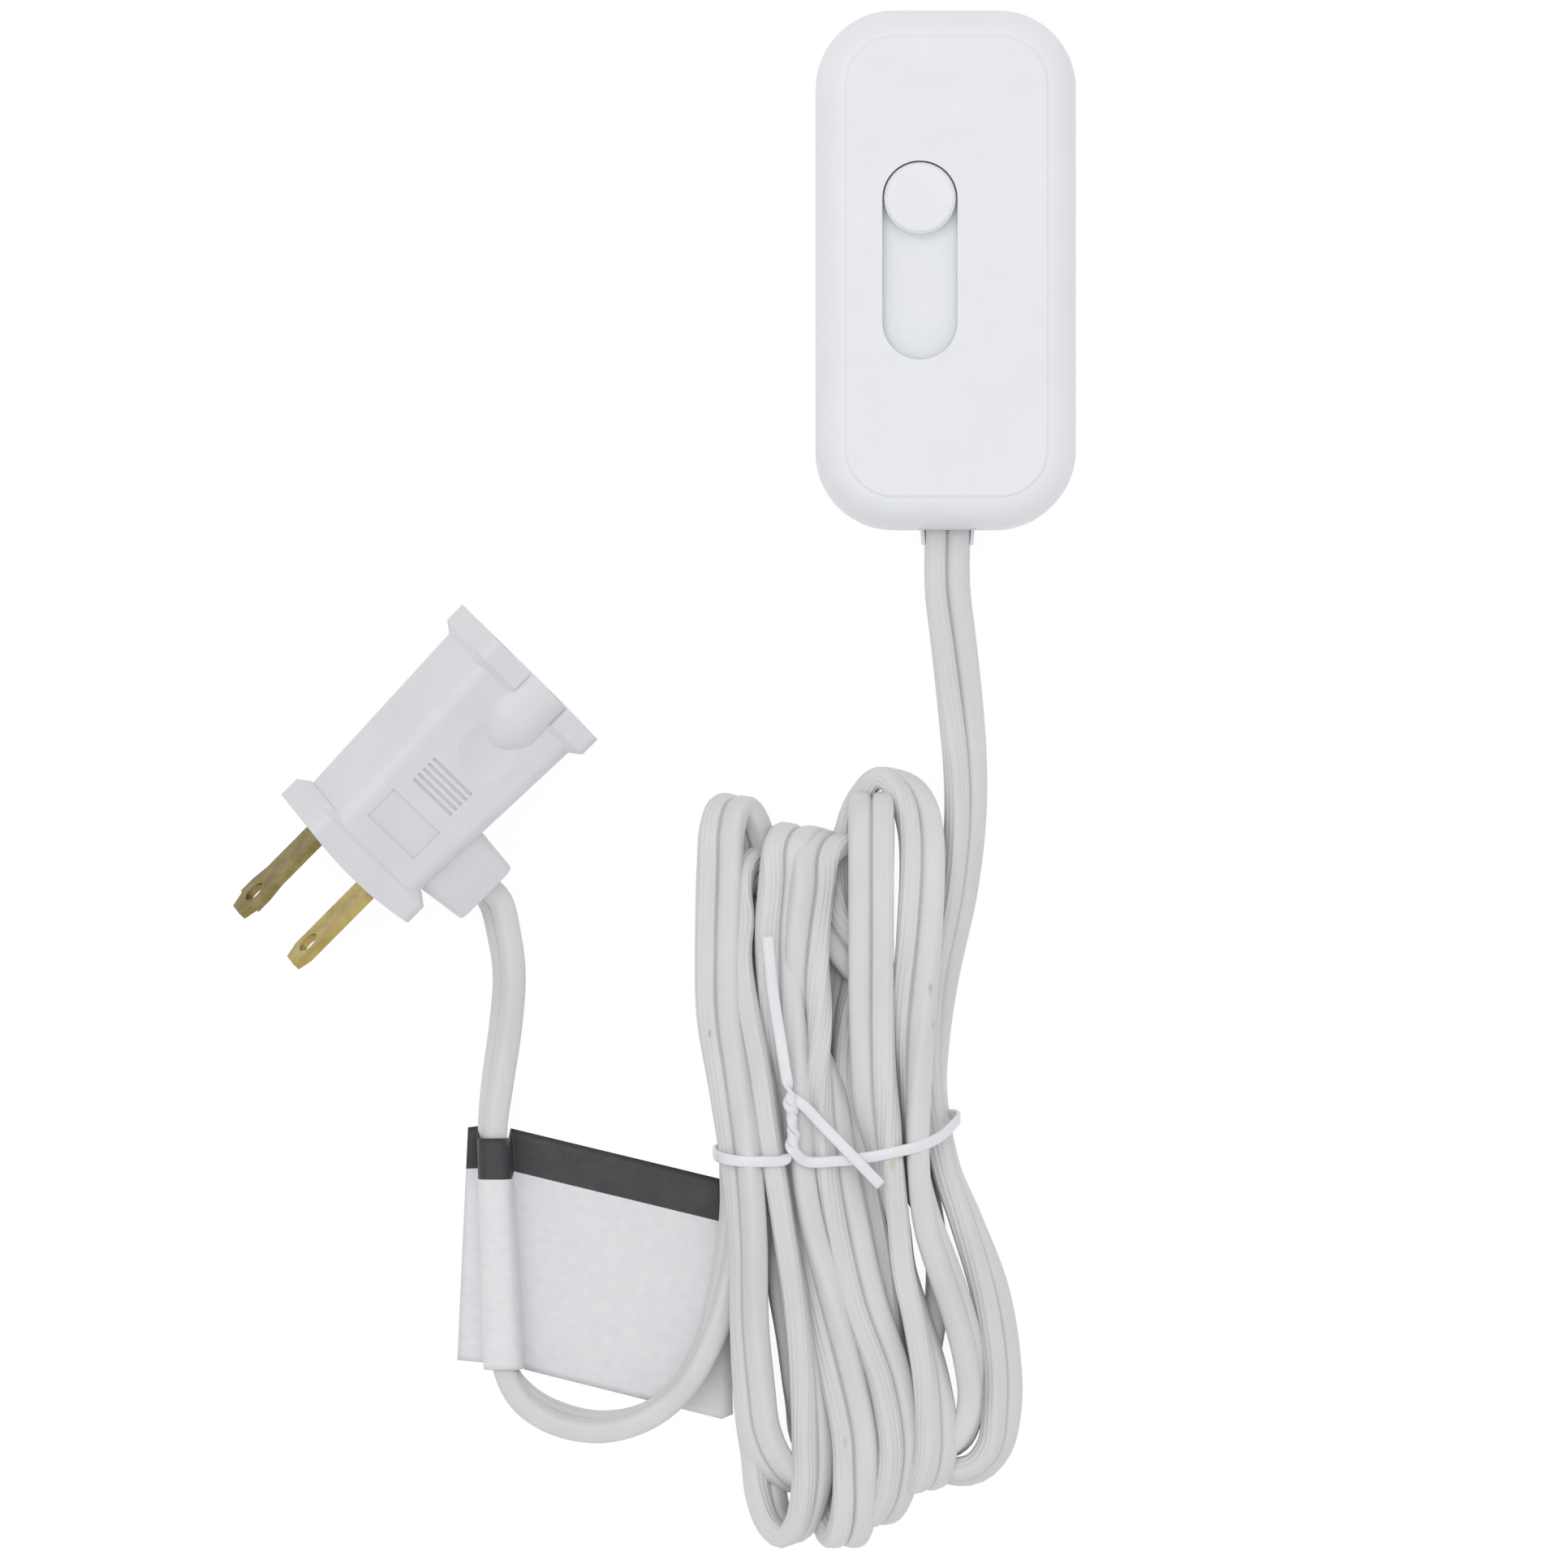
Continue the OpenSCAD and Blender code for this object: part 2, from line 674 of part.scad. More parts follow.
module slider_shutter() {
    color([0.9, 0.9, 0.92])
        translate([slot_x, knob_y, shutter_z])
            difference() {
                stadium(shutter_r, shutter_reach - shutter_r, shutter_t);
                translate([0, 0, -past])
                    cylinder(r = stem_r + fit, h = shutter_t + 2 * past);
            }
}

module slider_carriage() {
    color([0.25, 0.26, 0.28])
        translate([slot_x, knob_y, 0])
            difference() {
                union() {
                    translate([-carriage_w / 2, -carriage_l / 2, carriage_z])
                        cube([carriage_w, carriage_l, carriage_h]);
                    translate([-tongue_w / 2, -tongue_w / 2, carriage_top - past])
                        cube([tongue_w, tongue_w, shutter_z - carriage_top + past]);
                }
                translate([0, 0, carriage_top])
                    cylinder(r = stem_r + fit, h = shutter_z - carriage_top + past);
            }
}

module wiper_contact() {
    arm_w = carriage_w / 4;
    arm_l = carriage_l - 1;
    color([0.8, 0.65, 0.35])
        translate([slot_x, knob_y, wiper_z]) {
            for (x = [-1, 1])
                translate([x * (carriage_w / 2 - arm_w) - arm_w / 2, -arm_l / 2, 0])
                    cube([arm_w, arm_l, wiper_t]);
            translate([-carriage_w / 2 + arm_w, -arm_l / 2, 0])
                cube([carriage_w - 2 * arm_w, arm_w, wiper_t]);
        }
}

// The board and what stands on it
module at_board_posts() {
    for (x = [-1, 1], y = [-1, 1])
        translate([x * (board_w / 2 - post_r - fit), y * (board_l / 2 - post_r - fit), 0])
            children();
}

module circuit_board() {
    color([0.2, 0.45, 0.25])
        difference() {
            translate([-board_w / 2, -board_l / 2, board_z])
                cube([board_w, board_l, board_t]);
            at_board_posts()
                translate([0, 0, board_z - past])
                    cylinder(r = pin_r + fit, h = board_t + 2 * past);
        }
}

module pot_frame() {
    out_w = frame_in_w + 2 * frame_t;
    out_l = frame_in_l + 2 * frame_t;
    gate_w = tongue_w + 2 * run_gap;
    gate_l = travel + tongue_w + 2 * run_gap;
    color([0.72, 0.73, 0.75])
        translate([slot_x, slot_y, board_top])
            difference() {
                translate([-out_w / 2, -out_l / 2, 0])
                    cube([out_w, out_l, lip_z + frame_t - board_top]);
                translate([-frame_in_w / 2, -frame_in_l / 2, -past])
                    cube([frame_in_w, frame_in_l, lip_z - board_top + past]);
                translate([-gate_w / 2, -gate_l / 2, 0])
                    cube([gate_w, gate_l, lip_z + frame_t - board_top + past]);
            }
}

module resistance_track() {
    color([0.12, 0.12, 0.13])
        translate([slot_x - carriage_w / 2, slot_y - frame_in_l / 2 + fit, board_top])
            cube([carriage_w, frame_in_l - 2 * fit, track_t]);
}

module heat_spreader() {
    color([0.75, 0.76, 0.78])
        translate([triac_at[0] - triac_w / 2, triac_at[1] - spreader_l / 2, board_top])
            cube([triac_w, spreader_l, spreader_t]);
}

module triac() {
    body = [triac_w, 9.2, 4.4];
    tab = [triac_w, 6.2, 1.2];
    leg = [0.8, 2.6, 0.5];
    leg_step = 2.54;
    leg_z = 2;
    base = board_top + spreader_t;
    body_y = triac_at[1] + spreader_l / 2 - body[1];
    color([0.15, 0.15, 0.16])
        translate([triac_at[0], body_y, base]) {
            difference() {
                union() {
                    translate([-body[0] / 2, 0, 0])
                        cube(body);
                    translate([-tab[0] / 2, -tab[1], 0])
                        cube([tab[0], tab[1] + past, tab[2]]);
                }
                translate([0, -tab[1] / 2, -past])
                    cylinder(r = 1.8, h = tab[2] + 2 * past);
            }
            for (k = [-1 : 1]) {
                translate([k * leg_step - leg[0] / 2, body[1] - past, leg_z])
                    cube([leg[0], leg[1] + past, leg[2]]);
                translate([k * leg_step - leg[0] / 2, body[1] + leg[1] - leg[2], -spreader_t])
                    cube([leg[0], leg[2], leg_z + spreader_t + leg[2]]);
            }
        }
}

module ring_solid(inner, outer, z, h) {
    rotate_extrude()
        translate([inner, z])
            square([outer - inner, h]);
}

module choke_core() {
    color([0.35, 0.36, 0.38])
        translate([choke_at[0], choke_at[1], board_top])
            ring_solid(choke_r / 2, choke_r, winding_t + fit, choke_h);
}

module choke_winding() {
    outer = choke_r + fit + winding_t;
    inner = choke_r / 2 - fit - winding_t;
    color([0.72, 0.4, 0.2])
        translate([choke_at[0], choke_at[1], board_top])
            difference() {
                ring_solid(inner, outer, 0, choke_h + 2 * fit + 2 * winding_t);
                ring_solid(choke_r / 2 - fit, choke_r + fit, winding_t, choke_h + 2 * fit);
            }
}

module film_capacitor() {
    color([0.75, 0.55, 0.15])
        translate([capacitor_at[0], capacitor_at[1], board_top])
            linear_extrude(capacitor_size[2])
                rounded(capacitor_size[0], capacitor_size[1], 0.8);
}

// A small part with a lead at each end that bends down to the board
module axial(l, r, lead_r) {
    z = board_top + r + fit;
    reach = l / 2 + 2;
    translate([0, -l / 2, z])
        rotate([-90, 0, 0])
            cylinder(r = r, h = l);
    wire([[0, -reach, board_top], [0, -reach, z], [0, reach, z], [0, reach, board_top]], lead_r);
}

module resistors() {
    color([0.8, 0.72, 0.55])
        for (x = resistor_x)
            translate([x, resistor_y, 0])
                axial(6.3, 1.15, 0.3);
}

module diac() {
    color([0.2, 0.35, 0.6])
        translate([diac_at[0], diac_at[1], 0])
            axial(3.6, 0.9, 0.25);
}

module inner_wires() {
    start = exit_y + wall + fit + relief_flange_t;
    z = board_top + wire_r + fit;
    color([0.85, 0.85, 0.86])
        for (x = [-conductor, conductor])
            round_tube([
                [cord_x + x, start, cord_z],
                [cord_x + x, start + wire_r, cord_z],
                [cord_x + x, -board_l / 2 - wire_r, z],
                [cord_x + x, wire_end_y, z]
            ], wire_r);
}

// The cord and what is on it
module strain_relief() {
    through = relief_l + wall + fit + relief_flange_t;
    color([0.84, 0.85, 0.86])
        translate([cord_x, exit_y, cord_z])
            difference() {
                union() {
                    translate([0, -relief_l, 0])
                        rotate([-90, 0, 0])
                            linear_extrude(through)
                                rounded(relief_w, relief_h, relief_wall);
                    translate([-relief_w / 2 - relief_flange, wall + fit, -relief_h / 2])
                        cube([relief_w + 2 * relief_flange, relief_flange_t, relief_h]);
                }
                for (x = [-conductor, conductor])
                    translate([x, -relief_l - past, 0])
                        rotate([-90, 0, 0])
                            cylinder(r = wire_r, h = through + 2 * past);
            }
}

module cord_lead() {
    color([0.83, 0.83, 0.84])
        free_tube(lead_route, [0, -1, 0], [0, -1, 0]);
}

module cord_hank() {
    echo(hank_gap_mm = hank_gap());
    color([0.83, 0.83, 0.84])
        polyhedron(hank_points, tube_faces(hank_rings, hank_sides));
}

module cord_tail() {
    out = tail_start + tail_straight * plug_side;
    route = concat([[each tail_start, 0], [each out, 0]], tail_route);
    color([0.83, 0.83, 0.84])
        free_tube(route, plug_side, [0, 1, 0]);
}

module twist_tie() {
    ends_z = tie_top - tie_t / 2;
    color([0.9, 0.9, 0.92]) {
        translate([tie_x, waist_y, tie_low + tie_t + tie_in_h / 2])
            rotate([90, 0, tie_turn])
                linear_extrude(tie_w, center = true)
                    difference() {
                        rounded(tie_in_w + 2 * tie_t, tie_in_h + 2 * tie_t, tie_corner + tie_t);
                        rounded(tie_in_w, tie_in_h, tie_corner);
                    }
        for (e = [tie_end_1, tie_end_2])
            round_tube([for (p = e) p + [0, 0, ends_z]], tie_end_r);
    }
}

module sleeve_outline(r, low) {
    translate([-r, low])
        square([2 * r, sleeve_h - low]);
    translate([0, sleeve_h])
        circle(r);
}

module cord_tag() {
    color([0.85, 0.85, 0.86]) {
        translate([tag_at[0], tag_at[1], 0])
            rotate([90, 0, tag_turn])
                linear_extrude(tag_l)
                    difference() {
                        sleeve_outline(sleeve_r + tag_t, 0);
                        sleeve_outline(sleeve_r, -past);
                    }
        linear_extrude(tag_t)
            polygon(tag_flap);
        linear_extrude(tag_t)
            polygon(tag_strip);
    }
}

// The plug: X along its blades, Y towards its cord boss, Z out of its broad face
module at_plug() {
    translate(plug_at)
        rotate([0, 0, plug_yaw])
            rotate([-plug_roll, 0, 0])
                children();
}

module bar(from, to, w, h, r, sides = $fn) {
    translate([from, 0, 0])
        rotate([90, 0, 90])
            linear_extrude(to - from)
                rounded(w, h, r, $fn = sides);
}

module plug_body() {
    color([0.88, 0.88, 0.9])
        at_plug()
            difference() {
                plug_outside();
                plug_hollows();
                plug_marks();
            }
}

module plug_outside() {
    difference() {
        union() {
            plug_barrel();
            outlet_flange();
            blade_flange();
            cord_boss();
        }
        translate([scoop_at[0], scoop_at[1], plug_t / 2 + scoop_r - scoop_depth])
            sphere(scoop_r);
        translate([-plug_end - past, knuckle_y - notch_half, plug_t / 2])
            cube([flange_t + flange_slope + 2 * past, 2 * notch_half, outlet_flange_h]);
    }
    knuckle();
}

// The body between the flanges, wider towards the outlet
module plug_barrel() {
    slice = flange_t / 2;
    hull() {
        bar(-plug_end + slice, -plug_end + 2 * slice, plug_w + 2 * plug_taper, plug_t, plug_r, 32);
        bar(plug_end - 2 * slice, plug_end - slice, plug_w, plug_t, plug_r, 32);
    }
}

// A flange's rim, and the slope behind it down to the body
module flange(from, to, behind, w, h) {
    hull() {
        bar(from, to, w, h, flange_r, 32);
        bar(min(from, behind), max(to, behind), w - 2 * flange_slope, h - 2 * flange_slope, flange_r, 32);
    }
}

module outlet_flange() {
    rim = -plug_end + flange_t;
    flange(-plug_end, rim, rim + flange_slope, outlet_flange_w, outlet_flange_h);
}

// The flange at the blades, bowed outwards
module blade_flange() {
    rim = plug_end - flange_t;
    intersection() {
        flange(rim, plug_end + flange_bow, rim - flange_slope, blade_flange_w, blade_flange_h);
        translate([plug_end + flange_bow - bow_r, 0, 0])
            cylinder(r = bow_r, h = 2 * blade_flange_h, center = true, $fn = 360);
    }
}

// The boss where the cord leaves, narrower and thinner towards its end
module cord_boss() {
    root = plug_w / 2 - plug_r;
    slice = boss_reach - plug_w / 2;
    translate([boss_x, 0, 0])
        rotate([-90, 0, 0])
            hull() {
                translate([0, 0, root - slice])
                    linear_extrude(slice)
                        rounded(boss_w + 2 * boss_flare, plug_t - 2 * flange_slope, plug_r, $fn = 32);
                translate([0, 0, root])
                    linear_extrude(boss_reach - root)
                        rounded(boss_w, boss_h, plug_r / 2, $fn = 32);
            }
}

// The round ridge from the outlet's face to the thumb's scoop
module knuckle() {
    ridge = knuckle_l - knuckle_half;
    translate([-plug_end, knuckle_y, plug_t / 2 + knuckle_rise - knuckle_r])
        rotate([0, 90, 0])
            rotate_extrude()
                intersection() {
                    union() {
                        square([knuckle_r, ridge]);
                        translate([0, ridge])
                            circle(knuckle_r);
                    }
                    square([2 * knuckle_r, ridge + 2 * knuckle_r]);
                }
}

module plug_hollows() {
    bar(-plug_end - past, -plug_end + face_t, face_w + 2 * fit, face_h + 2 * fit, flange_r);
    bar(-plug_end, cavity_end, cavity_w, cavity_h, flange_r / 2);
    for (y = [-1, 1])
        translate([cavity_end - past, y * blade_pitch / 2 - blade_t / 2 - fit, -narrow_w / 2 - fit])
            cube([plug_end + flange_bow - cavity_end + 2 * past, blade_t + 2 * fit, narrow_w + 2 * fit]);
    for (x = [-conductor, conductor])
        translate([boss_x + x, 0, 0])
            rotate([-90, 0, 0])
                cylinder(r = wire_r + fit, h = boss_reach + past);
}

module plug_marks() {
    top = plug_t / 2;
    translate([panel_at[0], panel_at[1], top])
        cube([panel_size[0], panel_size[1], 2 * panel_size[2]], center = true);
    for (k = [-2 : 2])
        translate([groove_at[0] + k * groove_step, groove_at[1], top])
            cube([groove_size[0], groove_size[1], 2 * groove_size[2]], center = true);
}

module outlet_face() {
    color([0.87, 0.87, 0.89])
        at_plug()
            difference() {
                bar(-plug_end, -plug_end + face_t, face_w, face_h, flange_r - fit);
                for (s = [[-1, outlet_wide], [1, outlet_narrow]])
                    translate([-plug_end, s[0] * blade_pitch / 2, 0])
                        cube([4 * face_t, outlet_slot_w, s[1]], center = true);
            }
}

// A pair of spring leaves behind a slot of the outlet, joined at their inner end
module leaves(y) {
    from = -plug_end + face_t + fit;
    for (s = [-1, 1])
        translate([from, y + s * leaf_gap - (s < 0 ? contact_t : 0), -narrow_w / 2])
            cube([contact_end - from, contact_t, narrow_w]);
    translate([contact_end - contact_t, y - leaf_gap - contact_t, -narrow_w / 2])
        cube([contact_t, 2 * (leaf_gap + contact_t), narrow_w]);
}

module blade_outline(w, shoulder_at) {
    tip = plug_end + blade_l;
    step = 1.2;
    flare = 3;
    polygon([
        [blade_root, -narrow_w / 2], [shoulder_at, -narrow_w / 2], [shoulder_at + flare, -w / 2],
        [tip - 2 * step, -w / 2], [tip - 2 * step, -narrow_w / 2], [tip, -narrow_w / 2 + step],
        [tip, narrow_w / 2 - step], [tip - 2 * step, narrow_w / 2], [tip - 2 * step, w / 2],
        [shoulder_at + flare, w / 2], [shoulder_at, narrow_w / 2], [blade_root, narrow_w / 2]
    ]);
}

module blade(y, w) {
    hole_from_tip = 4;
    shoulder_from_tip = 8;
    translate([0, y + blade_t / 2, 0])
        rotate([90, 0, 0])
            difference() {
                linear_extrude(blade_t)
                    blade_outline(w, plug_end + blade_l - shoulder_from_tip);
                translate([plug_end + blade_l - hole_from_tip, 0, -past])
                    cylinder(r = blade_hole_r, h = blade_t + 2 * past);
            }
}

module wide_blade() {
    y = -blade_pitch / 2;
    strip_w = narrow_w / 2;
    color([0.72, 0.62, 0.36])
        at_plug() {
            blade(y, wide_w);
            leaves(y);
            translate([contact_end - contact_t, y - contact_t / 2, -strip_w / 2])
                cube([blade_root - contact_end + past, contact_t, strip_w]);
        }
}

module narrow_blade() {
    color([0.72, 0.62, 0.36])
        at_plug()
            blade(blade_pitch / 2, narrow_w);
}

module hot_contact() {
    color([0.75, 0.63, 0.35])
        at_plug()
            leaves(blade_pitch / 2);
}

module plug_wires() {
    y = blade_pitch / 2;
    color([0.85, 0.85, 0.86])
        at_plug() {
            rod([boss_x + conductor, boss_reach, 0], [boss_x + conductor, y + blade_t / 2 + fit, 0], wire_r);
            wire([
                [boss_x - conductor, boss_reach, 0],
                [boss_x - conductor, y, 0],
                [contact_end + fit, y, 0]
            ], wire_r);
        }
}

top_cover();
base_cover();
cover_screws();
slider_knob();
slider_shutter();
slider_carriage();
wiper_contact();
circuit_board();
pot_frame();
resistance_track();
triac();
heat_spreader();
choke_core();
choke_winding();
film_capacitor();
resistors();
diac();
inner_wires();
strain_relief();
cord_lead();
cord_hank();
cord_tail();
twist_tie();
cord_tag();
plug_body();
outlet_face();
wide_blade();
narrow_blade();
hot_contact();
plug_wires();
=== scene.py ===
"""Looks of a corded table-top lamp dimmer: control, hank of flat cord, tag and piggy-back plug."""
import bisect
import math
from typing import NamedTuple

import bpy
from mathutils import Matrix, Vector


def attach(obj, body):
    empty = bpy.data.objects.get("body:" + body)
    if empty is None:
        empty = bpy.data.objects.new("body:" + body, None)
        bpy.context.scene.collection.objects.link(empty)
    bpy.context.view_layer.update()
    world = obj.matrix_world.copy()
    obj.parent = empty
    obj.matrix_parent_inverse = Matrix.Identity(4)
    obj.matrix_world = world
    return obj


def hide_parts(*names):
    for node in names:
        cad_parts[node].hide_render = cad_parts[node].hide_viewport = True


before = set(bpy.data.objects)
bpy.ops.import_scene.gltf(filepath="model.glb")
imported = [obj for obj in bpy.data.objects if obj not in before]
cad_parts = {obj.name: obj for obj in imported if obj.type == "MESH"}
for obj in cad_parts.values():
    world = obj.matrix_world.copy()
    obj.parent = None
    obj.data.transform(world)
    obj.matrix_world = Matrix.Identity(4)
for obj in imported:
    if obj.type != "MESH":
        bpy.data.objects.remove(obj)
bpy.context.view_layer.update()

MM = 0.001
RIGHT = Vector((1, 0, 0))
AWAY = Vector((0, 1, 0))
UP = Vector((0, 0, 1))
HOUSING = "housing"
SLIDER = "slider"


# Camera: straight down from above the middle of the picture
PHOTO_MIDDLE = (-25.5, -81.1)
CAMERA_HEIGHT = 1200
FIELD_WIDTH = 249.4
SENSOR_WIDTH = 36


def make_camera():
    data = bpy.data.cameras.new("camera")
    data.sensor_width = SENSOR_WIDTH
    data.lens = SENSOR_WIDTH * CAMERA_HEIGHT / FIELD_WIDTH
    data.clip_start = 0.01
    camera = bpy.data.objects.new("camera", data)
    camera.location = Vector((*PHOTO_MIDDLE, CAMERA_HEIGHT)) * MM
    bpy.context.collection.objects.link(camera)
    bpy.context.scene.camera = camera


make_camera()


# Materials
def linear(colour):
    """Linear colour from sRGB values of 0 to 255."""
    def channel(c):
        c = c / 255
        return c / 12.92 if c <= 0.04045 else ((c + 0.055) / 1.055) ** 2.4
    return (*(channel(c) for c in colour), 1)


class Nodes:
    """A new node material and short calls that add nodes to it."""

    def __init__(self, name):
        self.material = bpy.data.materials.new(name)
        self.material.use_nodes = True
        self.tree = self.material.node_tree
        self.shader = self.tree.nodes["Principled BSDF"]
        self.place = self.add("ShaderNodeTexCoord").outputs["Object"]

    def add(self, kind, **settings):
        node = self.tree.nodes.new(kind)
        for key, value in settings.items():
            setattr(node, key, value)
        return node

    def link(self, output, socket):
        self.tree.links.new(output, socket)

    def set(self, **values):
        for key, value in values.items():
            self.shader.inputs[key.replace("_", " ")].default_value = value

    def stretched(self, scale):
        """Object coordinates in millimetres, times a scale for each axis."""
        node = self.add("ShaderNodeMapping")
        node.inputs["Scale"].default_value = [s / MM for s in scale]
        self.link(self.place, node.inputs["Vector"])
        return node.outputs["Vector"]

    def noise(self, size, detail=2.0, stretch=(1, 1, 1)):
        """Noise with features of the given size in millimetres."""
        node = self.add("ShaderNodeTexNoise")
        node.inputs["Scale"].default_value = 1 / size
        node.inputs["Detail"].default_value = detail
        self.link(self.stretched(stretch), node.inputs["Vector"])
        return node.outputs["Fac"]

    def spread(self, value, low, high, start=0.3, end=0.7):
        """A value from the noise's middle range, taken to a range of its own."""
        node = self.add("ShaderNodeMapRange")
        for key, number in (("From Min", start), ("From Max", end), ("To Min", low), ("To Max", high)):
            node.inputs[key].default_value = number
        self.link(value, node.inputs["Value"])
        return node.outputs["Result"]

    def between(self, value, first, second):
        """A colour between two, by a value from 0 to 1."""
        node = self.add("ShaderNodeMix", data_type="RGBA")
        self.link(value, node.inputs["Factor"])
        for socket, colour in ((node.inputs[6], first), (node.inputs[7], second)):
            if hasattr(colour, "is_output"):
                self.link(colour, socket)
            else:
                socket.default_value = colour
        return node.outputs[2]

    def paint(self, colour):
        self.link(colour, self.shader.inputs["Base Color"])

    def rough(self, value):
        self.link(value, self.shader.inputs["Roughness"])

    def bump(self, height, depth, strength=1.0):
        """Relief of the given depth in millimetres."""
        node = self.add("ShaderNodeBump")
        node.inputs["Strength"].default_value = strength
        node.inputs["Distance"].default_value = depth * MM
        self.link(height, node.inputs["Height"])
        self.link(node.outputs["Normal"], self.shader.inputs["Normal"])


def moulded(name, colour, shade, roughness, grain=0.25, relief=0.004):
    """Moulded plastic: a faint cloud of two tones, fine grain and uneven gloss."""
    m = Nodes(name)
    cloud = m.spread(m.noise(9, 3), 0, 1)
    m.paint(m.between(cloud, linear(colour), linear(shade)))
    m.rough(m.spread(m.noise(2.5, 3), roughness - 0.05, roughness + 0.06))
    m.bump(m.noise(grain, 2), relief)
    return m.material


# Small marks on the cord as x, y, reach and colour, drawn out along the hank
CORD_MARKS = (
    (-8.5, -140.7, 0.7, (196, 186, 150)),
    (-2.5, -113.2, 0.5, (176, 166, 148)),
    (-15.9, -184.8, 0.5, (190, 190, 190)),
    (-37.2, -120.4, 0.35, (150, 150, 150)),
    (-2, -119, 0.5, (190, 184, 172)),
)
MARK_STRETCH = 0.4
MARK_STRENGTH = 0.8


def cord_vinyl():
    """Soft vinyl: drawn lengthwise in the hank, with a dull skin, faint scuffs and a few small marks."""
    m = Nodes("cord_vinyl")
    cloud = m.spread(m.noise(6, 4, (1, 0.35, 1)), 0, 1)
    skin = m.between(cloud, linear((220, 220, 220)), linear((212, 212, 212)))
    place = m.stretched((1, MARK_STRETCH, 0))
    for x, y, reach, colour in CORD_MARKS:
        away = m.add("ShaderNodeVectorMath", operation="DISTANCE")
        away.inputs[1].default_value = (x, y * MARK_STRETCH, 0)
        m.link(place, away.inputs[0])
        mark = m.spread(away.outputs["Value"], MARK_STRENGTH, 0, 0, reach)
        skin = m.between(mark, skin, linear(colour))
    m.paint(skin)
    m.rough(m.spread(m.noise(1.2, 3, (1, 0.2, 1)), 0.42, 0.56))
    m.bump(m.noise(0.35, 3), 0.012)
    m.set(Subsurface_Weight=0.06, Subsurface_Scale=0.6 * MM)
    return m.material


def brushed_brass(name, light, dark, roughness):
    """Rolled brass: grain along the blade, tarnish in clouds and fine scratches."""
    m = Nodes(name)
    tarnish = m.spread(m.noise(3.2, 5), 0, 1, 0.35, 0.68)
    m.paint(m.between(tarnish, linear(light), linear(dark)))
    m.rough(m.spread(m.noise(0.5, 4), roughness - 0.1, roughness + 0.12))
    m.bump(m.noise(0.18, 4, (1, 1, 0.2)), 0.006)
    m.set(Metallic=1.0)
    return m.material


def metal(name, colour, shade, roughness):
    """Plain metal: two close tones, uneven gloss and a fine grain."""
    m = Nodes(name)
    m.paint(m.between(m.spread(m.noise(2, 4), 0, 1), linear(colour), linear(shade)))
    m.rough(m.spread(m.noise(0.6, 3), roughness - 0.08, roughness + 0.1))
    m.bump(m.noise(0.2, 3), 0.004)
    m.set(Metallic=1.0)
    return m.material


def tag_film(name, colour, shade, roughness):
    """Printed film: a faint mottle, long soft waves and a light sheen."""
    m = Nodes(name)
    m.paint(m.between(m.spread(m.noise(1.4, 4), 0, 1), linear(colour), linear(shade)))
    m.rough(m.spread(m.noise(5, 2), roughness - 0.06, roughness + 0.08))
    m.bump(m.noise(7, 2), 0.05)
    return m.material


def board_laminate():
    """Circuit board: solder mask with a woven ground and paler tracks."""
    m = Nodes("board_laminate")
    weave = m.add("ShaderNodeTexWave", bands_direction="DIAGONAL")
    weave.inputs["Scale"].default_value = 1.2
    m.link(m.stretched((1, 1, 0)), weave.inputs["Vector"])
    ground = m.between(weave.outputs["Fac"], linear((38, 92, 52)), linear((44, 104, 58)))
    tracks = m.add("ShaderNodeTexBrick", offset=0.5)
    tracks.inputs["Scale"].default_value = 0.12
    tracks.inputs["Mortar Size"].default_value = 0.06
    m.link(m.stretched((1, 1, 0)), tracks.inputs["Vector"])
    m.paint(m.between(tracks.outputs["Fac"], ground, linear((84, 140, 84))))
    m.rough(m.spread(m.noise(1.5), 0.3, 0.42))
    m.bump(tracks.outputs["Fac"], 0.03)
    return m.material


COVER = moulded("cover_plastic", (234, 236, 240), (231, 233, 237), 0.42)
BASE = moulded("base_plastic", (230, 232, 235), (226, 228, 231), 0.5)
KNOB = moulded("knob_plastic", (236, 237, 241), (233, 234, 238), 0.38, 0.18, 0.003)
SHUTTER = moulded("shutter_plastic", (237, 239, 242), (234, 236, 239), 0.5, 0.3, 0.005)
PLUG = moulded("plug_vinyl", (223, 222, 226), (217, 216, 221), 0.4, 0.4, 0.008)
TIE = moulded("tie_coating", (233, 233, 238), (228, 228, 234), 0.3, 0.5, 0.01)
CORD = cord_vinyl()
TAG = tag_film("tag_film", (229, 230, 232), (223, 224, 227), 0.45)
TAG_BAND = tag_film("tag_band", (54, 52, 57), (46, 44, 49), 0.5)
BRASS_WIDE = brushed_brass("brass_wide", (150, 135, 88), (128, 113, 71), 0.42)
BRASS_NARROW = brushed_brass("brass_narrow", (188, 172, 109), (166, 149, 88), 0.36)
BRASS_INNER = brushed_brass("brass_inner", (200, 172, 100), (176, 146, 80), 0.35)
STEEL = metal("screw_steel", (188, 190, 194), (160, 162, 168), 0.35)
ALUMINIUM = metal("spreader_aluminium", (202, 204, 208), (184, 186, 190), 0.4)
COPPER = metal("winding_copper", (190, 108, 60), (150, 78, 40), 0.35)
CARBON = moulded("track_carbon", (30, 30, 33), (22, 22, 24), 0.6)
BLACK = moulded("black_plastic", (42, 42, 45), (34, 34, 37), 0.5)
FERRITE = moulded("ferrite", (70, 72, 76), (56, 58, 62), 0.7, 0.3, 0.02)
CAPACITOR = moulded("capacitor_epoxy", (178, 120, 34), (160, 102, 26), 0.3)
RESISTOR = moulded("resistor_enamel", (206, 186, 142), (192, 170, 124), 0.35)
BEAD = moulded("glass_bead", (52, 92, 158), (40, 74, 136), 0.15)
WIRE = moulded("wire_vinyl", (222, 222, 224), (212, 212, 215), 0.45)
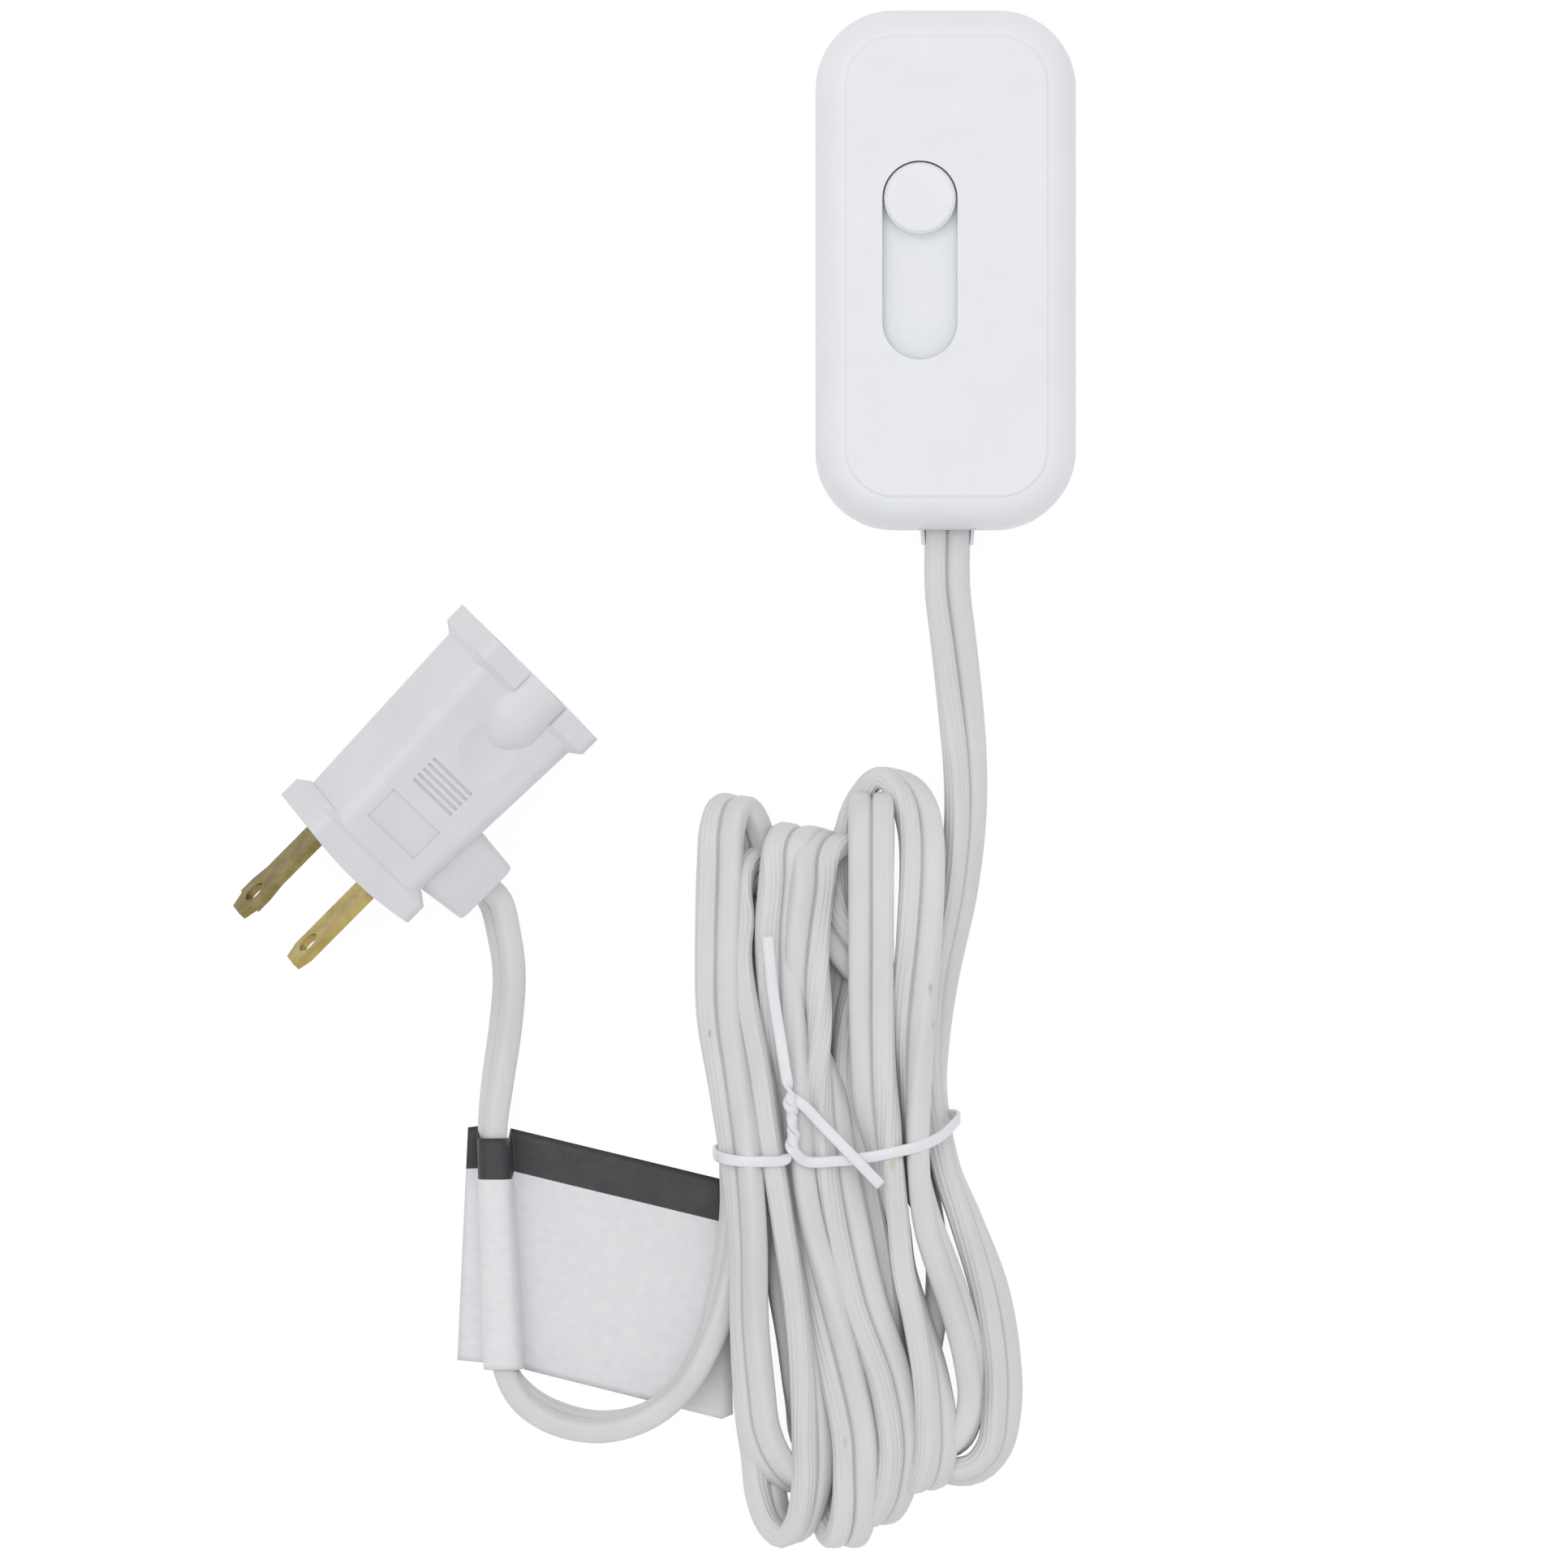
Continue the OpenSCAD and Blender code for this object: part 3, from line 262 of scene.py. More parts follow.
BOARD = board_laminate()


# Meshes
def add_piece(name, points, faces, materials, body, smooth=True):
    """A mesh piece from points in millimetres, riding on a body."""
    mesh = bpy.data.meshes.new(name)
    mesh.from_pydata([Vector(p) * MM for p in points], [], faces)
    mesh.validate()
    for material in materials:
        mesh.materials.append(material)
    for polygon in mesh.polygons:
        polygon.use_smooth = smooth
    piece = bpy.data.objects.new(name, mesh)
    bpy.context.collection.objects.link(piece)
    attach(piece, body)
    return piece


def tube_faces(rings, sides, closed=False):
    """Faces of a tube of rings, with a cap on each end unless it is closed on itself."""
    faces = []
    for r in range(rings if closed else rings - 1):
        here = r * sides
        there = (r + 1) % rings * sides
        for k in range(sides):
            n = (k + 1) % sides
            faces.append((here + k, here + n, there + n, there + k))
    if not closed:
        faces.append(tuple(range(sides - 1, -1, -1)))
        faces.append(tuple(range((rings - 1) * sides, rings * sides)))
    return faces


# Routes of flat pieces: places, and where it matters the direction of the piece's width
class Stop(NamedTuple):
    at: Vector
    width: Vector | None = None


def spline_point(a, b, c, d, t):
    """A point of the centripetal Catmull-Rom curve from b to c."""
    gaps = [max((q - p).length, 1e-6) ** 0.5 for p, q in ((a, b), (b, c), (c, d))]
    t1, t2, t3 = gaps[0], gaps[0] + gaps[1], sum(gaps)
    s = t1 + t * gaps[1]
    ab = a * ((t1 - s) / t1) + b * (s / t1)
    bc = b * ((t2 - s) / gaps[1]) + c * ((s - t1) / gaps[1])
    cd = c * ((t3 - s) / gaps[2]) + d * ((s - t2) / gaps[2])
    abc = ab * ((t2 - s) / t2) + bc * (s / t2)
    bcd = bc * ((t3 - s) / (t3 - t1)) + cd * ((s - t1) / (t3 - t1))
    return abc * ((t2 - s) / gaps[1]) + bcd * ((s - t1) / gaps[1])


def carried_sides(along, first):
    """A direction square to the route at each point, carried along without twist."""
    sides = []
    side = first
    for k, way in enumerate(along):
        if k:
            side = along[k - 1].rotation_difference(way) @ side
        side = (side - way * side.dot(way)).normalized()
        sides.append(side)
    return sides


def curve_value(places, values, s):
    """The value at s on a smooth curve through values at their places."""
    i = min(max(bisect.bisect_right(places, s) - 1, 0), len(places) - 2)

    def slope(k):
        if k in (0, len(places) - 1):
            return 0.0
        return (values[k + 1] - values[k - 1]) / (places[k + 1] - places[k - 1])

    gap = places[i + 1] - places[i]
    t = (s - places[i]) / gap
    rise = values[i + 1] - values[i]
    start, end = slope(i) * gap, slope(i + 1) * gap
    return values[i] + t * (start + t * (3 * rise - 2 * start - end + t * (start + end - 2 * rise)))


def turned_widths(points, along, marks):
    """Widths through the marked directions, with the twist spread between them."""
    sides = carried_sides(along, marks[0][1])
    reach = [0.0]
    for a, b in zip(points, points[1:]):
        reach.append(reach[-1] + (b - a).length)
    angles = []
    for k, width in marks:
        angle = math.atan2(width.dot(along[k].cross(sides[k])), width.dot(sides[k]))
        if angles:
            angle += math.tau * round((angles[-1] - angle) / math.tau)
        angles.append(angle)
    places = [reach[k] for k, _ in marks]
    widths = []
    for way, side, s in zip(along, sides, reach):
        angle = curve_value(places, angles, s)
        widths.append(side * math.cos(angle) + way.cross(side) * math.sin(angle))
    return widths


def smooth_route(stops, step):
    """Close points along a smooth curve through the stops, with the way and the width at each."""
    places = [stops[0].at * 2 - stops[1].at, *(s.at for s in stops), stops[-1].at * 2 - stops[-2].at]
    points, marks = [], []
    for i, stop in enumerate(stops):
        if stop.width is not None:
            marks.append((len(points), stop.width))
        if i == len(stops) - 1:
            points.append(stop.at.copy())
            break
        count = max(3, math.ceil((stops[i + 1].at - stop.at).length / step))
        points += [spline_point(*places[i:i + 4], j / count) for j in range(count)]
    last = len(points) - 1
    along = [(points[min(k + 1, last)] - points[max(k - 1, 0)]).normalized() for k in range(last + 1)]
    return points, along, turned_widths(points, along, marks)


def sweep(points, along, widths, outline):
    """Rings of an outline along a route, facing outward: its first value goes with the width."""
    skin = []
    for at, direction, width in zip(points, along, widths):
        across = direction.cross(width)
        skin += [at + width * u + across * v for u, v in outline]
    return skin


# The plug's place: its axis runs along the blades, its side towards the cord
PLUG_AT = Vector((-80, -78.1, 13.85))
PLUG_YAW = math.radians(225.2)
PLUG_ROLL = math.radians(25.7)
PLUG_AXIS = Vector((math.cos(PLUG_YAW), math.sin(PLUG_YAW), 0))
PLUG_SIDE = Vector((
    -math.sin(PLUG_YAW) * math.cos(PLUG_ROLL),
    math.cos(PLUG_YAW) * math.cos(PLUG_ROLL),
    -math.sin(PLUG_ROLL),
))

# The end of the plug's cord boss, and how the cord leaves it
BOSS_X = 9.1
BOSS_REACH = 19.5
BOSS_END = PLUG_AT + PLUG_AXIS * BOSS_X + PLUG_SIDE * BOSS_REACH
BOSS_STRAIGHT = 4
BOSS_SINK = 1.5
BOSS_TWIST = math.radians(70)


# The cord: lead, hank and tail in one
CORD_WIDTH = 7.2
CONDUCTOR_R = CORD_WIDTH / 4
LOBE_POWER = 3.2
WEB_ANGLE = 20
RIBS = 13
RIB_DEPTH = 0.11
RIB_POINTS = 6
SMOOTH_POINTS = 28
CORD_STEP = 1.6
CORD_EXIT = (0.4, -40.75, 5)


def lobe_reach(a):
    """Reach of a conductor's slightly squared outline at an angle."""
    p = LOBE_POWER
    return CONDUCTOR_R / (abs(math.cos(a)) ** p + abs(math.sin(a)) ** p) ** (1 / p)


def cord_outline():
    """Two conductors side by side: the first smooth, the second with fine ribs."""
    outline = []
    span = 360 - 2 * WEB_ANGLE
    for k in range(SMOOTH_POINTS + 1):
        a = math.radians(-180 + WEB_ANGLE + span * k / SMOOTH_POINTS)
        outline.append((CONDUCTOR_R + lobe_reach(a) * math.cos(a), lobe_reach(a) * math.sin(a)))
    for k in range(RIBS * RIB_POINTS + 1):
        a = math.radians(WEB_ANGLE + span * k / (RIBS * RIB_POINTS))
        r = lobe_reach(a) - RIB_DEPTH * (0.5 - 0.5 * math.cos(math.tau * k / RIB_POINTS))
        outline.append((-CONDUCTOR_R + r * math.cos(a), r * math.sin(a)))
    return outline


# Free stretches as x, y, z, lean: the lead from the waist to the control, the tail from plug to waist
LEAD_ROUTE = (
    (-2, -130, 4.58, 74), (-2, -122, 4.5, 64), (-0.9, -112, 4.2, 53), (2, -98, 3.8, 48),
    (3.2, -87, 3.5, 42), (3.2, -78, 3.3, 34), (2.4, -68, 3.2, 20), (1.3, -58, 3.8, 8),
    (0.4, -50, 4.6, 0), (0.4, -40.5, 5, 0),
)
TAIL_ROUTE = (
    (-69.9, -105, 3.5, -116), (-69.1, -111, 3.5, -114), (-69.6, -119, 3.7, -114), (-71, -129, 3.9, -112),
    (-71.7, -136, 4, -106), (-71.1, -148, 4, -102), (-70.5, -160, 4, -100), (-69.8, -173.5, 4, -90),
    (-66.7, -178.5, 4, -76), (-61.4, -181.7, 4, -70), (-54.4, -183, 4, -74), (-47.4, -181.4, 4, -82),
    (-41.7, -177, 4.2, -84), (-37.3, -169.5, 4.4, -80), (-34.6, -160, 4.5, -72), (-33, -149, 4.58, -64),
)

# Limbs of the hank in the order of travel, as x, y, z and the turn of the width from the right to up,
# and the far end of the fold after each
LIMBS = (
    ((-33, -139, 4.58, 65), (-31.5, -125, 4.4, 72), (-28.4, -110, 4.4, 80), (-26.8, -102, 4.8, 85)),
    ((-32.3, -101, 9.8, 262), (-32.2, -108.5, 10.6, 272), (-30.8, -116.5, 11, 280), (-29.2, -125, 11.1, 280),
     (-26.9, -140, 11.2, 280), (-25.2, -151, 11, 280), (-23.3, -163, 10.5, 285), (-21.7, -175, 9.8, 302),
     (-20.9, -187, 8.8, 318)),
    ((-28.9, -187, 5.2, 325), (-30.6, -177, 4.8, 300), (-30.2, -163, 4.6, 275), (-28.4, -150, 4.6, 265),
     (-27.6, -139, 4.7, 270), (-27.8, -122, 5.6, 290), (-29.4, -106, 5.8, 330), (-29.8, -97, 5.4, 5)),
    ((-35.6, -93, 11.6, 12), (-35.9, -105, 12.2, 14), (-35.7, -117, 12.2, 20), (-34, -128, 12, 32),
     (-32.3, -140, 11.9, 42), (-31.2, -153, 11.6, 53), (-31, -166, 11, 52), (-30.3, -176, 10.3, 42),
     (-29.4, -183, 9.5, 40), (-27.2, -188, 8.4, 38), (-24.2, -191, 6.4, 28), (-20.6, -191.4, 4.4, 8),
     (-17.8, -193, 3.2, 4)),
    ((-14.2, -191, 9.4, 6), (-14.4, -184, 9.8, 12), (-16.1, -175, 10.3, 20), (-18.8, -163, 10.8, 45),
     (-21.5, -151, 11, 72), (-23.2, -140, 11.2, 72), (-23.8, -130, 11.6, 58), (-25.2, -120, 12, 25),
     (-26.2, -112, 12.2, -5), (-26.5, -104, 12.2, -22), (-25.8, -95, 11.8, -22)),
    ((-19.8, -97, 5, -15), (-21.5, -118, 4.6, 20), (-25, -139, 4.58, 60), (-26.6, -150, 5, 75),
     (-26.3, -160, 5.4, 85), (-24.9, -169, 5.2, 88), (-23.4, -179, 4.4, 85), (-21.4, -185.5, 3.4, 55),
     (-17.5, -187.5, 3, 10), (-13.5, -189, 3, -15)),
    ((-7.2, -185, 9.5, 326), (-8.8, -175, 10.3, 332), (-12.8, -163, 11, 345), (-15.6, -151, 11.6, 345),
     (-17.7, -140, 11.8, 326), (-18.9, -129, 11.8, 305), (-20.9, -119, 12, 235), (-21.9, -111, 12.3, 190),
     (-21.8, -104, 12.3, 160), (-20.9, -96, 12, 155)),
    ((-13.8, -98, 5, 165), (-15, -108, 4.2, 190), (-16.3, -117, 6.8, 235), (-16.3, -127, 7, 255),
     (-13.5, -139, 6.4, 265), (-11.2, -150, 6.4, 270), (-9.6, -158, 6.4, 275), (-8, -166.5, 5.8, 290),
     (-6.9, -175, 4.6, 310), (-6.2, -182, 3.4, 330)),
    ((-1.4, -184, 9.2, 318), (-2.3, -175, 10, 302), (-4.5, -165.5, 10.4, 284), (-6.6, -157.5, 10.8, 274),
     (-7.5, -150, 11, 270), (-9.4, -140, 11.5, 245), (-11.1, -130, 12.2, 202), (-11.7, -119, 12.6, 186),
     (-11.8, -106, 12.8, 180), (-11.8, -91, 12.8, 180)),
    ((-11.6, -90, 3.4, 180), (-11.6, -115, 3.4, 175), (-9.4, -131, 2.6, 170), (-5.2, -142, 2.8, 145),
     (-2.9, -148, 3.6, 108), (-1.6, -153, 3.8, 94), (-1.2, -158, 3.9, 90), (-1.6, -166, 3.8, 90),
     (-2.9, -174, 3.6, 90), (-3.6, -179, 3.6, 90)),
    ((4.1, -178, 6, 100), (3.6, -171, 7.8, 110), (1.5, -163, 9.2, 114), (-0.4, -157.5, 10, 114),
     (-2.9, -150, 10.8, 105), (-4.6, -140, 11.2, 84), (-5, -130, 11.4, 66), (-5.2, -119, 11.8, 35),
     (-4.2, -105, 11.8, 10), (-3.7, -95, 10.8, 0), (-3.9, -89, 9.4, -8), (-4.9, -84.6, 7.8, -24),
     (-6.7, -81.8, 6.6, -42), (-9.3, -80.2, 5.8, -82), (-11.4, -80.6, 5, -90), (-13.2, -82.6, 4.4, -90),
     (-14.6, -85, 4, -90), (-15.9, -89.5, 4.2, -95), (-18.2, -96.5, 6, 230), (-18.4, -102.5, 8, 190),
     (-14.5, -108, 8.4, 180), (-9.8, -113, 7.6, 190), (-7.2, -121, 6.2, 205), (-6.2, -130, 6.2, 215),
     (-7.6, -139, 6, 225), (-9, -150, 4, 245), (-8.6, -164, 3.7, 265), (-7, -177, 3.7, 280)),
    ((8.9, -181, 3.4, -48), (9, -174, 3.4, -48), (7.2, -162, 3.8, -50), (3.2, -150, 4.4, -66),
     (0.2, -142, 4.58, -76)),
)
FOLD_ENDS = (-94.6, -199.8, -84.6, -200.2, -89.3, -196.7, -90.4, -191.3, -84, -186, -190)
FOLD_ANGLES = (30, 60, 90, 120, 150)


def free_stops(route):
    """Stops of a free stretch: its lean turns the width from level, right of the way, downwards."""
    places = [Vector(p[:3]) for p in route]
    last = len(places) - 1
    stops = []
    for k, p in enumerate(route):
        lean = math.radians(p[3])
        along = places[min(k + 1, last)] - places[max(k - 1, 0)]
        flat = along.cross(UP).normalized()
        stops.append(Stop(places[k], flat * math.cos(lean) - UP * math.sin(lean)))
    return stops


def limb_stops(limb):
    """Stops of a limb, with the width turned as it says."""
    stops = []
    for x, y, z, turn in limb:
        a = math.radians(turn)
        stops.append(Stop(Vector((x, y, z)), RIGHT * math.cos(a) + UP * math.sin(a)))
    return stops


def fold_stops(first, second, end_y):
    """Places round a fold between the ends of two limbs."""
    a, b = Vector(first[:3]), Vector(second[:3])
    middle, half = (a + b) / 2, (a - b) / 2
    reach = AWAY * (end_y - middle.y)
    angles = [math.radians(angle) for angle in FOLD_ANGLES]
    return [Stop(middle + half * math.cos(a) + reach * math.sin(a)) for a in angles]


def hank_stops():
    """Stops of all the limbs and the folds between them."""
    stops = limb_stops(LIMBS[0])
    for first, second, end_y in zip(LIMBS, LIMBS[1:], FOLD_ENDS):
        stops += fold_stops(first[-1], second[0], end_y) + limb_stops(second)
    return stops


def make_cord():
    """The cord from the plug to the control, and its path the other way round."""
    broad = PLUG_AXIS.cross(PLUG_SIDE)
    across = broad * math.sin(BOSS_TWIST) - PLUG_AXIS * math.cos(BOSS_TWIST)
    boss = [
        Stop(BOSS_END - PLUG_SIDE * BOSS_SINK, across),
        Stop(BOSS_END + PLUG_SIDE * BOSS_STRAIGHT, across),
    ]
    stops = boss + free_stops(TAIL_ROUTE) + hank_stops() + free_stops(LEAD_ROUTE)
    points, along, widths = smooth_route(stops, CORD_STEP)
    outline = cord_outline()
    skin = sweep(points, along, widths, outline)
    cord = add_piece("cord", skin, tube_faces(len(points), len(outline)), [CORD], HOUSING)
    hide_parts("cord_lead", "cord_hank", "cord_tail")
    return cord, [p * MM for p in reversed(points)]


cord, cord_path = make_cord()


# The twist tie: a coated ribbon, its ends wound round each other
TIE_WIDTH = 1.75
TIE_THICKNESS = 0.75
TIE_STEP = 0.5
TIE_TAIL = ((-28.1, -105, 16.4), (-27.3, -113, 16.1), (-26, -121.5, 15.9), (-25, -127.5, 16))
TIE_RING = (
    (-25.4, -140.1, 15.5), (-28.5, -140.4, 15.1), (-33, -140.3, 14.6), (-35.4, -139.9, 12.6),
    (-36.4, -139.4, 8), (-35.6, -139, 2.6), (-30, -138.8, 0.7), (-16, -137.6, 0.65), (-3, -134.6, 0.7),
    (1.1, -133.6, 2), (2.1, -133.9, 5.5), (1.2, -134.9, 9), (-1.1, -136.7, 12.6), (-3.9, -137.9, 14.7),
    (-7.5, -138.8, 15.1), (-12.7, -139.8, 15.2), (-17, -140.3, 15.2), (-22.2, -140.3, 15.5),
)
TIE_END = ((-22.6, -131.4, 16.3), (-19.5, -134.6, 16.5), (-15.5, -138.7, 16.5), (-10.3, -144.1, 15.9))
TWIST_FROM = Vector((-24.4, -130.4, 16.2))
TWIST_TO = Vector((-24, -138.6, 16))
TWIST_R = 0.45
TWIST_TURNS = 2.5
TWIST_STEPS = 20
SQUARE_POWER = 0.6


def squared(value):
    """A sine or cosine pushed outwards, which squares a round outline."""
    return math.copysign(abs(value) ** SQUARE_POWER, value)


def ribbon_outline(width, thickness, sides=20):
    """A flat outline with round edges."""
    angles = [math.tau * k / sides for k in range(sides)]
    return [(squared(math.cos(a)) * width / 2, squared(math.sin(a)) * thickness / 2) for a in angles]


def twist_stops(phase):
    """Stops of one end wound round the other, from the loose end to the ring."""
    run = TWIST_TO - TWIST_FROM
    way = run.normalized()
    level = way.cross(UP).normalized()
    above = level.cross(way)
    stops = []
    for k in range(TWIST_STEPS + 1):
        a = math.radians(phase) + math.tau * TWIST_TURNS * k / TWIST_STEPS
        out = level * math.cos(a) + above * math.sin(a)
        round_way = above * math.cos(a) - level * math.sin(a)
        along = run + round_way * (math.tau * TWIST_TURNS * TWIST_R)
        at = TWIST_FROM + run * (k / TWIST_STEPS) + out * TWIST_R
        stops.append(Stop(at, along.cross(out).normalized()))
    return stops


def make_tie():
    stops = [Stop(Vector(p), RIGHT) for p in TIE_TAIL]
    stops += twist_stops(90)
    stops += [Stop(Vector(p), AWAY) for p in TIE_RING]
    stops += reversed([Stop(s.at) for s in twist_stops(270)])
    stops += [Stop(Vector(p), (RIGHT + AWAY).normalized()) for p in TIE_END]
    points, along, widths = smooth_route(stops, TIE_STEP)
    outline = ribbon_outline(TIE_WIDTH, TIE_THICKNESS)
    skin = sweep(points, along, widths, outline)
    tie = add_piece("tie_ribbon", skin, tube_faces(len(points), len(outline)), [TIE], HOUSING)
    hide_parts("twist_tie")
    return tie


tie = make_tie()


# The tag: one sheet from the strip on the left, over the cord, to the flap under the tail
SLEEVE_AXIS = (Vector((-71.55, -137.1, 0)), Vector((-70, -173.7, 0)))
SLEEVE_HALF = (2.5, 3)
SLEEVE_WALL = 4.4
SLEEVE_TOP = 8.15
SLEEVE_SIDES = 14
STRIP_EDGE = (Vector((-75.75, -135.7, 0.25)), Vector((-77.45, -172.7, 0.25)))
STRIP_FOOT = (Vector((-74.2, -135.5, 0.3)), Vector((-73.1, -173.1, 0.3)))
FLAP_ROOT = (Vector((-68.9, -135.85, 0.3)), Vector((-66.7, -174.2, 0.3)))
FLAP_EDGE = (Vector((-34.3, -144.2, 0.3)), Vector((-33.6, -182.5, 0.3)))
FLAP_COLUMNS = 18
FLAP_START = 0.01
FLAP_WAVE = 0.14
FLAP_WAVES = 1.5
CORNER_RISE = 1.2
CORNER_START = 0.9
TAG_BAND_SHARE = 0.178
TAG_BAND_ROWS = 5
TAG_ROWS = 28
TAG_THICKNESS = 0.2


def tag_row(share):
    """Points across the tag at a share of its length."""
    lines = (STRIP_EDGE, STRIP_FOOT, SLEEVE_AXIS, FLAP_ROOT, FLAP_EDGE)
    edge, foot, axis, root, end = (a.lerp(b, share) for a, b in lines)
    half = SLEEVE_HALF[0] + (SLEEVE_HALF[1] - SLEEVE_HALF[0]) * share
    over = []
    for k in range(SLEEVE_SIDES + 1):
        a = math.pi * (1 - k / SLEEVE_SIDES)
        height = SLEEVE_WALL + (SLEEVE_TOP - SLEEVE_WALL) * squared(max(0, math.sin(a)))
        over.append(axis + RIGHT * (half * squared(math.cos(a))) + UP * height)
    row = [edge.lerp(foot, t) for t in (0, 0.4, 0.9, 1)]
    row += [foot.lerp(over[0], t) for t in (0.1, 0.5)]
    row += over
    row += [over[-1].lerp(root, t) for t in (0.5, 0.9)]
    row.append(root)
    for k in range(FLAP_COLUMNS + 1):
        t = FLAP_START + (1 - FLAP_START) * k / FLAP_COLUMNS
        wave = 0.5 - 0.5 * math.cos(math.tau * FLAP_WAVES * t + 2 * share)
        row.append(root.lerp(end, t) + UP * (FLAP_WAVE * wave))
    row[-1] += AWAY * (CORNER_RISE * max(0, share - CORNER_START) / (1 - CORNER_START))
    return row


def make_tag():
    shares = [TAG_BAND_SHARE * k / TAG_BAND_ROWS for k in range(TAG_BAND_ROWS)]
    shares += [TAG_BAND_SHARE + (1 - TAG_BAND_SHARE) * k / TAG_ROWS for k in range(TAG_ROWS + 1)]
    rows = [tag_row(share) for share in shares]
    across = len(rows[0])
    faces = []
    for r in range(len(rows) - 1):
        for k in range(across - 1):
            here = r * across + k
            faces.append((here, here + across, here + across + 1, here + 1))
    tag = add_piece("tag_sheet", [p for row in rows for p in row], faces, [TAG, TAG_BAND], HOUSING)
    for polygon in tag.data.polygons[:TAG_BAND_ROWS * (across - 1)]:
        polygon.material_index = 1
    skin = tag.modifiers.new("thickness", "SOLIDIFY")
    skin.thickness = TAG_THICKNESS * MM
    skin.offset = 0
    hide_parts("cord_tag")
    return tag


tag = make_tag()


# The strain relief: a block in the control's wall, and a trough with two lips outside
RELIEF_X = 0.4
RELIEF_BLOCK = (-38.6, -40.9, 8.8, 5.2)
RELIEF_LIPS = ((-40.7, 1), (-42, 0.985), (-43.2, 0.96))
RELIEF_TROUGH = (
    (-4.25, 2.6), (4.25, 2.6), (4.25, 6.1), (3.95, 6.4), (3.65, 6.2), (3.6, 3.2),
    (-3.6, 3.2), (-3.65, 6.2), (-3.95, 6.4), (-4.25, 6.1),
)
RELIEF_EDGE = 0.15


def make_relief():
    start, end, width, height = RELIEF_BLOCK
    outline = ribbon_outline(width, height, 40)
    points = [(RELIEF_X + u, y, CORD_EXIT[2] + v) for y in (start, end) for u, v in outline]
    faces = tube_faces(2, len(outline))
    first = len(points)
    points += [(RELIEF_X + x * s, y, z) for y, s in RELIEF_LIPS for x, z in RELIEF_TROUGH]
    trough = tube_faces(len(RELIEF_LIPS), len(RELIEF_TROUGH))
    faces += [tuple(first + k for k in face) for face in trough]
    relief = add_piece("relief_collar", points, faces, [COVER], HOUSING, smooth=False)
    edge = relief.modifiers.new("edge", "BEVEL")
    edge.width = RELIEF_EDGE * MM
    edge.segments = 2
    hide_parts("strain_relief")
    return relief


relief = make_relief()


# The floor, the lights and the world
FLOOR_SIZE = 6
FLOOR_TONE = 0.92
FLOOR_GLOW = 0.92
GLOW_STRENGTH = 1.03
WHITE = (1, 1, 1, 1)
KEY_PLACE = (-0.25, 0.35, 1.7)
KEY_SIZE = 1.3
KEY_POWER = 7
WORLD_LIGHT = 0.76


def white_rays(tree):
    """1 for rays of the camera, of gloss and of glass, which see the background as plain white."""
    path = tree.nodes.new("ShaderNodeLightPath")
    total = path.outputs["Is Camera Ray"]
    for name in ("Is Glossy Ray", "Is Transmission Ray"):
        most = tree.nodes.new("ShaderNodeMath")
        most.operation = "MAXIMUM"
        tree.links.new(total, most.inputs[0])
        tree.links.new(path.outputs[name], most.inputs[1])
        total = most.outputs[0]
    return total


def mixed_surface(tree, share, first, second, output):
    """Leads a mix of two shaders, by a share from 0 to 1, to an output node."""
    mix = tree.nodes.new("ShaderNodeMixShader")
    tree.links.new(share, mix.inputs["Fac"])
    tree.links.new(first, mix.inputs[1])
    tree.links.new(second, mix.inputs[2])
    tree.links.new(mix.outputs["Shader"], tree.nodes[output].inputs["Surface"])


def make_floor():
    half = FLOOR_SIZE / 2
    mesh = bpy.data.meshes.new("floor")
    corners = [(-half, -half, 0), (half, -half, 0), (half, half, 0), (-half, half, 0)]
    mesh.from_pydata(corners, [], [(0, 1, 2, 3)])
    floor = bpy.data.objects.new("floor", mesh)
    bpy.context.collection.objects.link(floor)
    material = bpy.data.materials.new("floor_white")
    material.use_nodes = True
    tree = material.node_tree
    base = tree.nodes["Principled BSDF"]
    base.inputs["Base Color"].default_value = (FLOOR_TONE, FLOOR_TONE, FLOOR_TONE, 1)
    base.inputs["Roughness"].default_value = 0.9
    base.inputs["Specular IOR Level"].default_value = 0.0
    glow = tree.nodes.new("ShaderNodeEmission")
    glow.inputs["Color"].default_value = WHITE
    glow.inputs["Strength"].default_value = GLOW_STRENGTH
    share = tree.nodes.new("ShaderNodeMath")
    share.operation = "MULTIPLY"
    share.inputs[1].default_value = FLOOR_GLOW
    tree.links.new(white_rays(tree), share.inputs[0])
    mixed_surface(tree, share.outputs[0], base.outputs["BSDF"], glow.outputs["Emission"], "Material Output")
    mesh.materials.append(material)


